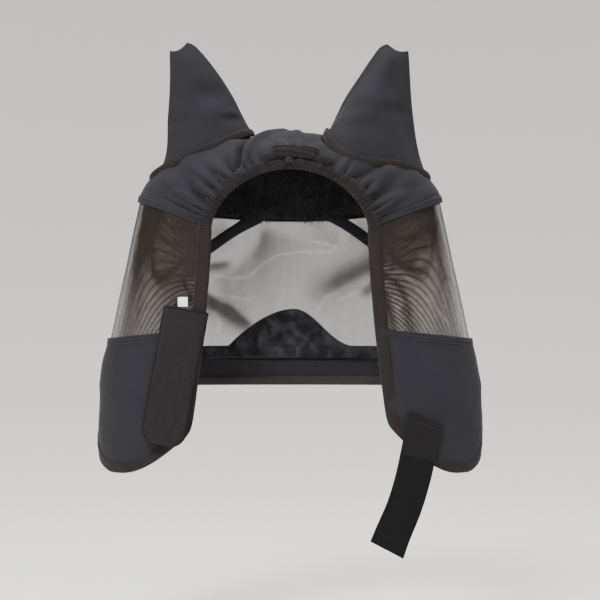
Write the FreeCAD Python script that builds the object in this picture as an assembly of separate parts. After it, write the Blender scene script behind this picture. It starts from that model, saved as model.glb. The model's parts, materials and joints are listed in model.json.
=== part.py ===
import FreeCAD, Part
import os
from math import cos, pi, radians, sin

# Fly mask with ear covers, in millimetres. +X is the wearer's right as seen from behind the mask,
# +Y points forwards along the horse's face, +Z is up. The origin is where the crown's underside
# rests on the poll, midway between the ears. The rear opening faces -Y.

V = FreeCAD.Vector

# --- Driving dimensions -------------------------------------------------------------------------
FOLD_Y = 55.0              # depth of the side folds behind the front face, from the rear edges
FOLD_TOP_HALF = 164.5      # half width over the side folds, at the crown seam
FOLD_LOW_HALF = 207.5      # the same over the cheek panels
FRONT_TOP_Y = 118.0        # front face at the brow
FRONT_LOW_Y = 132.0        # front face at the nose hem
EDGE_TOP_HALF = 83.5       # half width between the rear edges, at the crown seam
EDGE_LOW_HALF = 104.0      # the same where the rear corners start to round
FOLD_SHARE = 0.64          # share of a half section that is in front of the fold

ARCH_HEIGHT = 64.0         # height of the rear arch over its feet
ARCH_POWER = 1.16          # over 1 makes the arch more pointed
CREST_Z = 4.0              # top of the crown between the ears
SEAM_EDGE_Z = -108.0       # crown seam at the rear edge, at the fold and at the brow
SEAM_FOLD_Z = -77.0
SEAM_BROW_Z = -95.0
CHEEK_EDGE_Z = -216.0      # seam between mesh and cheek panel, at the rear edge and the fold
CHEEK_FOLD_Z = -229.0
NOSE_SEAM_Z = -249.0       # the same seam at the front, over the nose band
HEM_NOSE_Z = -281.0        # bottom of the nose hem
HEM_DROP = 90.0            # how far the cheeks hang below the nose hem
HEM_DROP_T = (0.34, 0.77)  # where the hem drops from the nose to the cheeks
HEM_CORNER_RISE = 54.0     # how far the rear corners are rounded up
CORNER_Z = -318.0

LYCRA = 2.0                # cloth thicknesses
NEOPRENE = 3.0
MESH = 1.2
BINDING = 4.0
GAP = 0.4                  # clearance between neighbouring pieces
SIDE_T = 0.585             # section share where a swinging side starts

BINDING_WIDTH = 15.0
CHEEK_HEM_WIDTH = 14.0
NOSE_HEM_WIDTH = 10.0
ELASTIC_WIDTH = 13.0
SEAM_GAP = 3.0             # clearance under the crown seam, for the swinging sides
ARCH_T_GAP = 0.004         # gap between elastic and crown, as a share of the crown's profile
EDGE_T_GAP = 0.0033        # gap between side panels and rear binding, as a share of a half section
HINGE_T_GAP = 0.028        # gap at the side folds between the front and the swinging sides, likewise
CROWN_S_END = 0.995        # how near the crown panel comes to the arch's feet, and to the brow seam
CROWN_T_END = 0.998
ELASTIC_S_END = 0.97

PATCH_S = (-0.07, 0.16)    # poll patch: its ranges along the crown and over it
PATCH_T = (0.085, 0.145)
PATCH_THICK = 2.2
PAD_S_HALF = 0.45          # brow pad
PAD_T = (0.68, 0.985)
PAD_THICK = 15.0
BROW_TAPE_T = (0.09, 0.25)     # brow tapes: range round the front, height and slope of the top edge
BROW_TAPE_Z = -92.0
BROW_TAPE_SLOPE = 300.0
BROW_TAPE_DROP = 13.0          # their upright width, on the slope
BROW_TAPE_THICK = 2.8
NOSE_PAD_T = 0.34          # nose pad: half range round the front, and heights over its seam
NOSE_PAD_RISE = 13.0
NOSE_HUMP_RISE = 42.0
NOSE_PEAK_X = 5.0
NOSE_HUMP_LEFT = (76.0, 0.85)      # half width of the hump and power of its curve, on each side
NOSE_HUMP_RIGHT = (68.0, 2.0)
NOSE_PAD_THICK = 7.0

EAR_HEIGHT = 98.0          # ear tip over the poll
EAR_TIP_INNER = 104.0      # the tip's inner and outer ends, from the middle of the mask
EAR_TIP_OUTER = 131.0
EAR_TIP_DROP = 9.0
EAR_BULGE = 9.0            # how far the inner edge bows towards the middle
EAR_S_INNER = 0.17         # where the ear's base starts and ends along the crown's crest
EAR_S_OUTER = 0.80
EAR_T_HALF = 0.135         # half depth of the ear's base, as a share of the crown's profile
EAR_LIFT = 15.0            # the swinging part of the ear starts this far over its collar's foot
COLLAR_HEIGHT = 5.0

FLAP_TOP = (-110.3, -193.6)    # middle of the closure flap's sewn edge, X and Z
FLAP_TILT = 10.5               # how far the flap leans outwards as it hangs, in degrees
FLAP_WIDTH = 49.0
FLAP_LENGTH = 148.0
FLAP_SEWN = 10.0
FLAP_Y = -3.0                  # depth of its near face, at the middle
FLAP_PITCH = 1.5               # how far it hangs away from the cheek, in degrees
FLAP_YAW = -10.0               # its turn about its length, to lie along the cheek, in degrees
FLAP_CORNER = 20.0             # radius of its lower corners

STRAP_TOP = (145.7, -310.0)    # middle of the hook strap's sewn edge, X and Z
STRAP_WIDTH = 38.0
STRAP_Y = -2.5
STRAP_PITCH = 3.5
STRAP_YAW = 12.0
STRAP_RUNS = [(14.0, 17.0), (42.0, 13.5), (45.0, 16.0), (43.0, 22.5)]  # length, lean in degrees
BEND_GAP = 4.5                 # gap between the stiff runs of the strap, where it bends
WEBBING = 1.4
PILE = 1.2
PILE_INSET = 1.5               # how far the pile stays inside its webbing, all round
PILE_GAP = 0.05
TAB_LIFT = 3.0                 # how far over the cheek's cloth the tabs and the label lie
LABEL_THICK = 0.6

LABEL = (-114.0, -185.5, 10.5, 9.0)    # care label: X, Z, width, height


# --- The shape of the hood ----------------------------------------------------------------------
def clamp(x, low=0.0, high=1.0):
    return max(low, min(high, x))


def mix(a, b, k):
    return a + (b - a) * k


def smooth(k):
    k = clamp(k)
    return k * k * (3 - 2 * k)


def quarter(angle, power):
    """A point on a unit superellipse quarter: (across, along), for an angle from 0 to pi/2."""
    c, s = abs(cos(angle)), abs(sin(angle))
    r = (c ** power + s ** power) ** (-1.0 / power)
    return r * s, r * c


def share_between(z, top, bottom):
    return (top - z) / (top - bottom)


def edge_half(z):
    k = max(0.0, share_between(z, SEAM_EDGE_Z, CORNER_Z))
    return mix(EDGE_TOP_HALF, EDGE_LOW_HALF, k ** 1.5)


def fold_half(z):
    k = share_between(z, SEAM_FOLD_Z, SEAM_FOLD_Z - 200.0)
    return mix(FOLD_TOP_HALF, FOLD_LOW_HALF, min(k, 1.0))


def front_y(z):
    return mix(FRONT_TOP_Y, FRONT_LOW_Y, share_between(z, SEAM_BROW_Z, HEM_NOSE_Z))


def front_angle(t):
    return pi / 2 * abs(t) / FOLD_SHARE


def rear_angle(t):
    return pi / 2 * (abs(t) - FOLD_SHARE) / (1 - FOLD_SHARE)


def section(t, z):
    """A point on the level section: t is 0 at the front's middle and +-1 at the rear edges."""
    side = 1.0 if t >= 0 else -1.0
    half = fold_half(z)
    if abs(t) <= FOLD_SHARE:
        across, along = quarter(front_angle(t), 2.5)
        return V(side * half * across, FOLD_Y + (front_y(z) - FOLD_Y) * along, z)
    back, out = quarter(rear_angle(t), 1.8)
    edge = edge_half(z)
    return V(side * (edge + (half - edge) * out), FOLD_Y * (1 - back), z)


def rear_face(x, z):
    """The point of the side's rear-facing half at a given X and Z."""
    edge = edge_half(z)
    out = clamp((abs(x) - edge) / (fold_half(z) - edge))
    return V(x, FOLD_Y * (1 - (1 - out ** 1.8) ** (1 / 1.8)), z)


def crown_seam(t):
    if abs(t) <= FOLD_SHARE:
        return mix(SEAM_BROW_Z, SEAM_FOLD_Z, sin(front_angle(t)) ** 2)
    return mix(SEAM_EDGE_Z, SEAM_FOLD_Z, quarter(rear_angle(t), 1.8)[1])


def cheek_seam(t):
    if abs(t) <= FOLD_SHARE:
        return mix(NOSE_SEAM_Z, CHEEK_FOLD_Z, sin(front_angle(t)) ** 2)
    return mix(CHEEK_EDGE_Z, CHEEK_FOLD_Z, quarter(rear_angle(t), 1.8)[1])


def hem_drop(t):
    """How much of the drop from the nose hem to the cheek hem is done, from 0 to 1."""
    return smooth((abs(t) - HEM_DROP_T[0]) / (HEM_DROP_T[1] - HEM_DROP_T[0]))


def hem(t):
    low = HEM_NOSE_Z - HEM_DROP * hem_drop(t)
    return low + HEM_CORNER_RISE * clamp((abs(t) - 0.8) / 0.2) ** 2.2


def hem_top(t):
    return hem(t) + mix(NOSE_HEM_WIDTH, CHEEK_HEM_WIDTH, hem_drop(t))


def arch(s):
    a = s * pi / 2
    rise = ARCH_HEIGHT * max(0.0, cos(a)) ** ARCH_POWER
    return V(EDGE_TOP_HALF * sin(a), 0, SEAM_EDGE_Z + rise)


def crest(s):
    across, along = quarter(abs(s) * pi / 2, 1.7)
    side = 1.0 if s >= 0 else -1.0
    return V(side * FOLD_TOP_HALF * across, FOLD_Y, mix(SEAM_FOLD_Z, CREST_Z, along))


def brow(s):
    t = FOLD_SHARE * s
    return section(t, crown_seam(t))


def rear_share(s):
    """Share of a crown profile that lies behind the crest."""
    rear = (crest(s) - arch(s)).Length
    front = (brow(s) - crest(s)).Length
    return rear / (rear + front)


def profile_length(s):
    return 1.15 * ((crest(s) - arch(s)).Length + (brow(s) - crest(s)).Length)


def crown(s, t):
    """A point on the crown: s runs from the left foot of the arch to the right, t from the arch
    over the crest to the seam with the mesh."""
    share = rear_share(s)
    top = crest(s)
    if t <= share:
        low = arch(s)
        back, up = quarter(pi / 2 * (1 - t / share), 1.8)
    else:
        low = brow(s)
        back, up = quarter(pi / 2 * (t - share) / (1 - share + 1e-9), 2.3)
    return V(mix(low.x, top.x, up), mix(top.y, low.y, back), mix(low.z, top.z, up))


# --- Solids -------------------------------------------------------------------------------------
def outward(shape, u, v, step=0.004):
    """The unit normal of a surface function, pointing away from the head."""
    u, v = clamp(u, -0.985, 0.985), clamp(v, 0.004, 0.985)
    du = shape(u + step, v) - shape(u - step, v)
    dv = shape(u, v + step) - shape(u, v - step)
    n = du.cross(dv)
    n.normalize()
    p = shape(u, v)
    away = p - V(0, FOLD_Y, min(p.z, -80.0))
    return n if n.dot(away) > 0 else n * -1


def closed_solid(low, high):
    """A closed solid between two grids of points."""
    faces, sheets = [], []
    for grid in (low, high):
        sheet = Part.BSplineSurface()
        sheet.interpolate(grid)
        sheets.append(sheet)
        faces.append(sheet.toShape())
    u0, u1, v0, v1 = sheets[0].bounds()
    a, b = sheets
    rims = [(a.uIso(u0), b.uIso(u0)), (a.uIso(u1), b.uIso(u1)),
            (a.vIso(v0), b.vIso(v0)), (a.vIso(v1), b.vIso(v1))]
    for c, d in rims:
        faces.append(Part.makeRuledSurface(c.toShape(), d.toShape()))
    shell = Part.Shell(faces)
    shell.sewShape()
    solid = Part.Solid(shell)
    if solid.Volume < 0:
        solid.reverse()
    return solid


def patch(shape, us, vs, inner, outer, nu=24, nv=12, around=outward):
    """A cloth panel: the surface function over a range of u and v, from inner to outer millimetres
    off the surface."""
    grids = ([], [])
    for i in range(nu):
        u = mix(us[0], us[1], i / (nu - 1.0))
        rows = ([], [])
        for j in range(nv):
            v = mix(vs[0], vs[1], j / (nv - 1.0))
            p, n = shape(u, v), around(shape, u, v)
            rows[0].append(p + n * inner)
            rows[1].append(p + n * outer)
        grids[0].append(rows[0])
        grids[1].append(rows[1])
    return closed_solid(*grids)


def band(top, bottom):
    """A surface function of (t, share of the way down) between two height functions of t."""
    return lambda t, v: section(clamp(t, -1, 1), mix(top(clamp(t, -1, 1)), bottom(clamp(t, -1, 1)), v))


def save(name, shape):
    solids = shape.Solids
    if not solids or not shape.isValid() or min(s.Volume for s in solids) <= 0:
        raise ValueError("bad solid: " + name)
    shape.exportStep("parts/" + name + ".step")
    print(name, len(solids), round(shape.Volume, 1))


def mirrored(side, value):
    return value if side > 0 else -value


def side_range(side, near, far):
    """A range of t on one side, low end first."""
    return (near, far) if side > 0 else (-far, -near)


SIDES = (("left", -1), ("right", 1))


# --- Crown and what is sewn to it ---------------------------------------------------------------
def ear_loop(side, grow, count=40):
    """The ear's base line on the crown, as points round a lens; grow widens it, in shares."""
    middle, reach = (EAR_S_INNER + EAR_S_OUTER) / 2, (EAR_S_OUTER - EAR_S_INNER) / 2
    points = []
    for i in range(count):
        a = 2 * pi * i / count
        s = middle + (reach + grow) * cos(a)
        t = rear_share(s) + (EAR_T_HALF + grow) * sin(a)
        points.append(crown(mirrored(side, s), t))
    return points


def ear_core(side, grow):
    """An upright prism over the ear's base, for cutting its hole through the crown."""
    curve = Part.BSplineCurve()
    curve.interpolate([V(p.x, p.y, -140) for p in ear_loop(side, grow)], PeriodicFlag=True)
    return Part.Face(Part.Wire(curve.toShape())).extrude(V(0, 0, 240))


def elastic_share(s):
    return ELASTIC_WIDTH / profile_length(s)


def crown_panel():
    def cloth(s, v):
        start = elastic_share(s) + ARCH_T_GAP
        return crown(s, mix(start, CROWN_T_END, v))
    panel = patch(cloth, (-CROWN_S_END, CROWN_S_END), (0, 1), 0, LYCRA, 41, 25)
    for _, side in SIDES:
        panel = panel.cut(ear_core(side, 0.012))
    save("crown_panel", panel)


def poll_elastic():
    def cloth(s, v):
        return crown(s, elastic_share(s) * v)
    save("poll_elastic", patch(cloth, (-ELASTIC_S_END, ELASTIC_S_END), (0, 1), -1.5, BINDING - 0.5, 33, 5))


def poll_patch():
    low = LYCRA + GAP
    save("poll_patch", patch(crown, PATCH_S, PATCH_T, low, low + PATCH_THICK, 8, 5))


def brow_pad():
    save("brow_pad", patch(crown, (-PAD_S_HALF, PAD_S_HALF), PAD_T, -PAD_THICK, -GAP, 25, 9))


def brow_tapes():
    def top(t):
        return BROW_TAPE_Z - BROW_TAPE_SLOPE * max(0.0, abs(t) - BROW_TAPE_T[0])

    tape = band(top, lambda t: top(t) - BROW_TAPE_DROP)
    for name, side in SIDES:
        ts = side_range(side, *BROW_TAPE_T)
        save("brow_tape_" + name, patch(tape, ts, (0, 1), -GAP - BROW_TAPE_THICK, -GAP, 16, 4))


# --- Front and nose -----------------------------------------------------------------------------
FRONT_T = SIDE_T - HINGE_T_GAP    # where the fixed front ends, before the swinging sides


def front_mesh():
    shape = band(lambda t: crown_seam(t) - GAP, lambda t: cheek_seam(t) + GAP)
    save("front_mesh", patch(shape, (-FRONT_T, FRONT_T), (0, 1), 0, MESH, 41, 11))


def nose_band():
    shape = band(cheek_seam, lambda t: hem_top(t) + GAP)
    save("nose_band", patch(shape, (-FRONT_T, FRONT_T), (0, 1), 0, NEOPRENE, 41, 7))


def nose_hem():
    shape = band(hem_top, hem)
    save("nose_hem", patch(shape, (-FRONT_T, FRONT_T), (0, 1), -0.5, BINDING - 0.5, 41, 4))


def nose_pad():
    def top(t):
        off = section(t, NOSE_SEAM_Z).x - NOSE_PEAK_X
        half, power = NOSE_HUMP_LEFT if off < 0 else NOSE_HUMP_RIGHT
        rise = max(0.0, cos(pi / 2 * clamp(abs(off) / half))) ** power
        return NOSE_SEAM_Z + NOSE_PAD_RISE + NOSE_HUMP_RISE * rise
    shape = band(top, lambda t: NOSE_SEAM_Z + GAP)
    save("nose_pad", patch(shape, (-NOSE_PAD_T, NOSE_PAD_T), (0, 1), -NOSE_PAD_THICK, -GAP, 33, 7))


# --- Swinging sides -----------------------------------------------------------------------------
def binding_t(z):
    """Share of the section where the rear binding starts, at a height."""
    low, high = FOLD_SHARE, 1.0
    edge = section(1.0, z)
    for _ in range(24):
        middle = (low + high) / 2
        if (section(middle, z) - edge).Length > BINDING_WIDTH:
            low = middle
        else:
            high = middle
    return (low + high) / 2


def side_band(side, top, bottom, far):
    """A surface function of (share from the fold to far(z), share of the way down)."""
    def shape(u, v):
        u, v = clamp(u), clamp(v)
        guess = mix(SIDE_T, 0.95, u)
        t = mix(SIDE_T, far(mix(top(guess), bottom(guess), v)), u)
        return section(side * t, mix(top(t), bottom(t), v))
    return shape


def side_normal(shape, u, v):
    return outward(shape, clamp(u, 0.01, 0.985), v)


def side_panels():
    def edge(z):
        return binding_t(max(z, CORNER_Z)) - EDGE_T_GAP
    for name, side in SIDES:
        mesh = side_band(side, lambda t: crown_seam(t) - SEAM_GAP, lambda t: cheek_seam(t) + GAP, edge)
        save("side_mesh_" + name, patch(mesh, (0, 1), (0, 1), 0, MESH, 21, 11, side_normal))
        cheek = side_band(side, cheek_seam, lambda t: hem_top(t) + GAP, edge)
        save("cheek_panel_" + name, patch(cheek, (0, 1), (0, 1), 0, LYCRA + 0.5, 21, 13, side_normal))


def rear_bindings():
    for name, side in SIDES:
        def shape(u, v):
            u = clamp(u)
            bottom = hem_top(mix(binding_t(CORNER_Z), 1.0, u)) + GAP
            z = mix(SEAM_EDGE_Z - SEAM_GAP, bottom, clamp(v))
            return section(side * mix(binding_t(max(z, CORNER_Z)), 1.0, u), z)
        binding = patch(shape, (0, 1), (0, 1), -1.5, BINDING - 1.5, 5, 21, side_normal)
        save("rear_binding_" + name, binding)


def cheek_hems():
    for name, side in SIDES:
        def shape(u, v):
            t = mix(SIDE_T, 1.0, clamp(u))
            return section(side * t, mix(hem_top(t), hem(t), clamp(v)))
        save("cheek_hem_" + name, patch(shape, (0, 1), (0, 1), -0.5, BINDING - 0.5, 33, 4, side_normal))


# --- Ears ---------------------------------------------------------------------------------------
def ear_base(side, face, a, lift):
    """A point of the ear's base line: face is -1 at the rear and +1 at the front, a from 0 at the
    inner end to 1 at the outer end."""
    angle = pi * (1 - a)
    middle, reach = (EAR_S_INNER + EAR_S_OUTER) / 2, (EAR_S_OUTER - EAR_S_INNER) / 2
    s = middle + reach * cos(angle)
    t = rear_share(s) + face * EAR_T_HALF * sin(angle)
    return crown(mirrored(side, s), t) + V(0, 0, lift)


def ear_surface(side, face):
    def shape(a, h):
        a, h = clamp(a), clamp(h)
        low = ear_base(side, face, a, EAR_LIFT)
        tip_x = mirrored(side, mix(EAR_TIP_INNER, EAR_TIP_OUTER, a))
        tip_z = EAR_HEIGHT - EAR_TIP_DROP * a ** 2 - 3.0 * (1 - a) ** 2
        x = mix(low.x, tip_x, h) - mirrored(side, EAR_BULGE * sin(pi * h) * (1 - a) ** 2)
        depth = (low.y - FOLD_Y) * (1 - h) ** 0.8 + face * (0.3 + 3.0 * sin(pi * a) * h)
        return V(x, FOLD_Y + depth, mix(low.z, tip_z, h))
    return shape


def ear_normal(face):
    def normal(shape, a, h):
        a, h = clamp(a, 0.02, 0.98), clamp(h, 0.01, 0.985)
        n = (shape(a + 0.01, h) - shape(a - 0.01, h)).cross(shape(a, h + 0.01) - shape(a, h - 0.01))
        n.normalize()
        return n if n.y * face > 0 else n * -1
    return normal


def ears():
    for name, side in SIDES:
        for word, face in (("back", -1), ("front", 1)):
            shape = ear_surface(side, face)
            panel = patch(shape, (0, 1), (0, 1), 0, LYCRA, 15, 15, ear_normal(face))
            save("ear_" + word + "_" + name, panel)


def ear_collars():
    """The taped ring round each ear's base, standing on the crown."""
    for name, side in SIDES:
        inner, outer = ear_loop(side, 0.0), ear_loop(side, 0.012)
        rings = []
        for loop in (outer, inner):
            for lift in (LYCRA + GAP, COLLAR_HEIGHT):
                curve = Part.BSplineCurve()
                curve.interpolate([p + V(0, 0, lift) for p in loop], PeriodicFlag=True)
                rings.append(curve.toShape())
        outer_low, outer_high, inner_low, inner_high = rings
        pairs = [(outer_low, outer_high), (inner_low, inner_high),
                 (outer_low, inner_low), (outer_high, inner_high)]
        shell = Part.Shell([Part.makeRuledSurface(a, b) for a, b in pairs])
        shell.sewShape()
        solid = Part.Solid(shell)
        if solid.Volume < 0:
            solid.reverse()
        save("ear_collar_" + name, solid)


# --- Closure: loop flap on the left, hook strap on the right -------------------------------------
def strip(start, lean, pitch, yaw, width, length, thickness, rounded=False):
    """A flat strip that hangs from start, a point (X, Y, Z) at the middle of its top, turned about
    its length and leaning by an angle from straight down. It is thickness deep towards -Y."""
    half = width / 2
    if rounded:
        r = FLAP_CORNER
        k = r * (1 - cos(pi / 4))
        low = [V(-half, 0, -length + r), V(-half + k, 0, -length + k), V(-half + r, 0, -length)]
        high = [V(half - r, 0, -length), V(half - k, 0, -length + k), V(half, 0, -length + r)]
        edges = [Part.LineSegment(V(-half, 0, 0), low[0]), Part.Arc(*low),
                 Part.LineSegment(low[2], high[0]), Part.Arc(*high),
                 Part.LineSegment(high[2], V(half, 0, 0)), Part.LineSegment(V(half, 0, 0), V(-half, 0, 0))]
        wire = Part.Wire([e.toShape() for e in edges])
    else:
        wire = Part.makePolygon([V(-half, 0, 0), V(half, 0, 0), V(half, 0, -length),
                                 V(-half, 0, -length), V(-half, 0, 0)])
    solid = Part.Face(wire).extrude(V(0, -thickness, 0))
    solid.rotate(V(0, 0, 0), V(0, 0, 1), yaw)
    solid.rotate(V(0, 0, 0), V(0, 1, 0), lean)
    solid.rotate(V(0, 0, 0), V(1, 0, 0), -pitch)
    solid.translate(V(*start))
    return solid


def along(start, lean, pitch, distance):
    """The point a distance down a leaning strip's middle."""
    down = distance * cos(radians(lean))
    return (start[0] - distance * sin(radians(lean)), start[1] - down * sin(radians(pitch)),
            start[2] - down * cos(radians(pitch)))


def sewn_tab(name, top, lean, width, length, thickness):
    """The end of a strip that is sewn flat to the outside of the cheek."""
    a = radians(lean)

    def shape(u, v):
        across, down = width * (clamp(u) - 0.5), length * clamp(v)
        x = top[0] + across * cos(a) - down * sin(a)
        return rear_face(x, top[1] - across * sin(a) - down * cos(a))
    save(name, patch(shape, (0, 1), (0, 1), TAB_LIFT, TAB_LIFT + thickness, 9, 4, side_normal))


def closure_flap():
    sewn_tab("flap_tab", FLAP_TOP, FLAP_TILT, FLAP_WIDTH, FLAP_SEWN - BEND_GAP, WEBBING + PILE)
    hang = (FLAP_TILT, FLAP_PITCH)
    start = along((FLAP_TOP[0], FLAP_Y, FLAP_TOP[1]), *hang, FLAP_SEWN)
    length = FLAP_LENGTH - FLAP_SEWN
    save("flap_backing", strip(start, *hang, FLAP_YAW, FLAP_WIDTH, length, WEBBING, True))
    near = (start[0], start[1] - WEBBING - PILE_GAP, start[2])
    width = FLAP_WIDTH - 2 * PILE_INSET
    save("flap_loop_face", strip(near, *hang, FLAP_YAW, width, length - PILE_INSET, PILE, True))


def hook_strap():
    (sewn, lean), runs = STRAP_RUNS[0], STRAP_RUNS[1:]
    sewn_tab("strap_tab", STRAP_TOP, lean, STRAP_WIDTH, sewn - BEND_GAP, WEBBING)
    start = along((STRAP_TOP[0], STRAP_Y, STRAP_TOP[1]), lean, STRAP_PITCH, sewn)
    for name, (length, lean) in zip(("upper", "middle", "lower"), runs):
        run = length - BEND_GAP
        webbing = strip(start, lean, STRAP_PITCH, STRAP_YAW, STRAP_WIDTH, run, WEBBING)
        save("strap_webbing_" + name, webbing)
        if name != "upper":
            near = along(start, lean, STRAP_PITCH, PILE_INSET)
            near = (near[0], near[1] - WEBBING - PILE_GAP, near[2])
            width, run = STRAP_WIDTH - 2 * PILE_INSET, run - 2 * PILE_INSET
            save("hook_pile_" + name, strip(near, lean, STRAP_PITCH, STRAP_YAW, width, run, PILE))
        start = along(start, lean, STRAP_PITCH, length)


def care_label():
    x, z, width, height = LABEL

    def shape(u, v):
        return rear_face(x + width * (clamp(u) - 0.5), z - height * (clamp(v) - 0.5))
    save("care_label", patch(shape, (0, 1), (0, 1), TAB_LIFT, TAB_LIFT + LABEL_THICK, 4, 4, side_normal))


def main():
    os.makedirs("parts", exist_ok=True)
    crown_panel()
    poll_elastic()
    poll_patch()
    brow_pad()
    brow_tapes()
    front_mesh()
    nose_band()
    nose_hem()
    nose_pad()
    side_panels()
    rear_bindings()
    cheek_hems()
    ears()
    ear_collars()
    closure_flap()
    hook_strap()
    care_label()


main()
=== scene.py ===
import json
import math

import bmesh
import bpy
import numpy as np
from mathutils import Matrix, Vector


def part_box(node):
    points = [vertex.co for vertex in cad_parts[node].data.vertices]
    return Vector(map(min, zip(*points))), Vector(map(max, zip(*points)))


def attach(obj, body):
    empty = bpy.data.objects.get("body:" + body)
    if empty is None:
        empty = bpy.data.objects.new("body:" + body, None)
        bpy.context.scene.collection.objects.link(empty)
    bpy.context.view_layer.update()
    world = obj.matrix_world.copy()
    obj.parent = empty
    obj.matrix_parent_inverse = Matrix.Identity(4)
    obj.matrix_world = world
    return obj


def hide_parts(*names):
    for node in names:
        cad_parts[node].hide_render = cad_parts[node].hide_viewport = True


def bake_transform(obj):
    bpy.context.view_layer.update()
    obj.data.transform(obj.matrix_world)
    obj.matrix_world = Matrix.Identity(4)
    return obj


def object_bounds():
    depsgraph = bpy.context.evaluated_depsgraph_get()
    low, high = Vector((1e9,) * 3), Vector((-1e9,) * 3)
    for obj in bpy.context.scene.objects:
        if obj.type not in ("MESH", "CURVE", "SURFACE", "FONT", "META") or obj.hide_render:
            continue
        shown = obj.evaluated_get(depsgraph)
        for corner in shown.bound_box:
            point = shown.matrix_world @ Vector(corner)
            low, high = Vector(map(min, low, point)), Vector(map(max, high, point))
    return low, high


# Visual model of the fly mask with ear covers. Shapes are worked out in millimetres, with the same
# shape functions as the CAD model, and written to the meshes in metres.

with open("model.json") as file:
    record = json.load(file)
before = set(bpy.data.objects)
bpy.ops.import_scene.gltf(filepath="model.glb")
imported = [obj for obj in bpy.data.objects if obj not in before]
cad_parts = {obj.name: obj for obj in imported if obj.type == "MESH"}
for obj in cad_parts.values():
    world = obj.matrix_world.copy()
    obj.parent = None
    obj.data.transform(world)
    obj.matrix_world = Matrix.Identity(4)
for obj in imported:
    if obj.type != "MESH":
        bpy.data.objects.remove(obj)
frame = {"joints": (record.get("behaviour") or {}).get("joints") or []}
CAD_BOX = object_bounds()
MM = 0.001
SIDES = (("left", -1.0), ("right", 1.0))
rng = np.random.default_rng(7)


# --- Driving dimensions, in millimetres: read from the frame where a node gives them ---
def high_mm(node):
    return np.array(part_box(node)[1]) / MM


LYCRA = 2.0                            # thickness of the stretch cloth
FOLD_Y = 55.0                          # depth of the side folds behind the rear edges
FOLD_TOP_HALF, FOLD_LOW_HALF = 164.5, high_mm("cheek_panel_right")[0] - 2.5
FOLD_SPAN = 200.0                      # height over which the folds spread out
FRONT_TOP_Y, FRONT_LOW_Y = 118.0, 132.0
EDGE_TOP_HALF, EDGE_LOW_HALF, EDGE_POWER = 83.5, 104.0, 1.5
FOLD_SHARE = 0.64                      # share of a section's half that lies in front of the fold
FRONT_POWER, REAR_POWER = 2.5, 1.8     # how square the sections are, ahead of the fold and behind it
ARCH_HEIGHT, ARCH_POWER, CREST_Z = 64.0, 1.16, high_mm("crown_panel")[2] - LYCRA
CREST_POWER, CROWN_FRONT_POWER, CROWN_CURVE = 1.7, 2.3, 1.15
SEAM_EDGE_Z, SEAM_FOLD_Z, SEAM_BROW_Z = -108.0, -77.0, -95.0
CHEEK_EDGE_Z, CHEEK_FOLD_Z, NOSE_SEAM_Z = -216.0, -229.0, -249.0
HEM_NOSE_Z, HEM_DROP, HEM_CORNER_RISE, CORNER_Z = -281.0, 90.0, 54.0, -318.0
HEM_DROP_T, LEFT_CORNER_RISE = (0.34, 0.77), 46.0
CORNER_T, CORNER_POWER = 0.8, 2.2      # where a cheek's rear corner begins to round off, and how
SIDE_T = 0.585                         # where the nose band ends and the cheeks begin
MIDDLE_T = 0.4             # the nose's middle piece stays on the hood up to here; the pieces beyond are handed to ride_side
BINDING_WIDTH, CHEEK_HEM_WIDTH, NOSE_HEM_WIDTH = 15.0, 14.0, 10.0
ELASTIC_WIDTH, TAPE_WIDTH = 13.0, 11.0
ARCH_ELASTIC = (11.0, 15.5)            # the elastic's width at the arch's top and at its feet
EAR_S, EAR_T_HALF = (0.17, 0.80), 0.135
EAR_MIDDLE, EAR_HALF = sum(EAR_S) / 2, (EAR_S[1] - EAR_S[0]) / 2
RIGHT_EAR_LOW, RIGHT_EAR_ANGLE = 1.25, -1.95   # how much lower the right ear's base hangs, and where
NORMAL_STEP = 0.004                    # half the step over which directions are taken


# --- The shape of the hood ---
def mix(a, b, k):
    return a + (b - a) * k


def smooth(k):
    k = np.clip(k, 0, 1)
    return k * k * (3 - 2 * k)


def bump(d, width):
    return np.exp(-0.5 * (d / width) ** 2)


def quarter(angle, power):
    c, s = np.abs(np.cos(angle)), np.abs(np.sin(angle))
    r = (c ** power + s ** power) ** (-1.0 / power)
    return r * s, r * c


def length(v):
    return np.linalg.norm(v, axis=-1)


def unit(v):
    return v / np.maximum(length(v)[..., None], 1e-9)


def run_along(path):
    """Distance from the start to each point of a path."""
    return np.concatenate([[0], np.cumsum(length(np.diff(path, axis=0)))])


def grid(u, v):
    """Both coordinates at each point of a grid, with u along its first axis."""
    return np.meshgrid(u, v, indexing="ij")


def resampled(points, run, even):
    """Points at new distances along a path, from those at the distances in run."""
    return np.stack([np.interp(even, run, points[:, k]) for k in range(3)], -1)


def front_angle(t):
    return np.pi / 2 * np.clip(np.abs(t) / FOLD_SHARE, 0, 1)


def rear_angle(t):
    return np.pi / 2 * np.clip((np.abs(t) - FOLD_SHARE) / (1 - FOLD_SHARE), 0, 1)


def edge_half(z):
    k = np.maximum(0, (SEAM_EDGE_Z - z) / (SEAM_EDGE_Z - CORNER_Z))
    return mix(EDGE_TOP_HALF, EDGE_LOW_HALF, k ** EDGE_POWER)


def fold_half(z):
    return mix(FOLD_TOP_HALF, FOLD_LOW_HALF, np.minimum((SEAM_FOLD_Z - z) / FOLD_SPAN, 1))


def front_y(z):
    return mix(FRONT_TOP_Y, FRONT_LOW_Y, (SEAM_BROW_Z - z) / (SEAM_BROW_Z - HEM_NOSE_Z))


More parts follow.
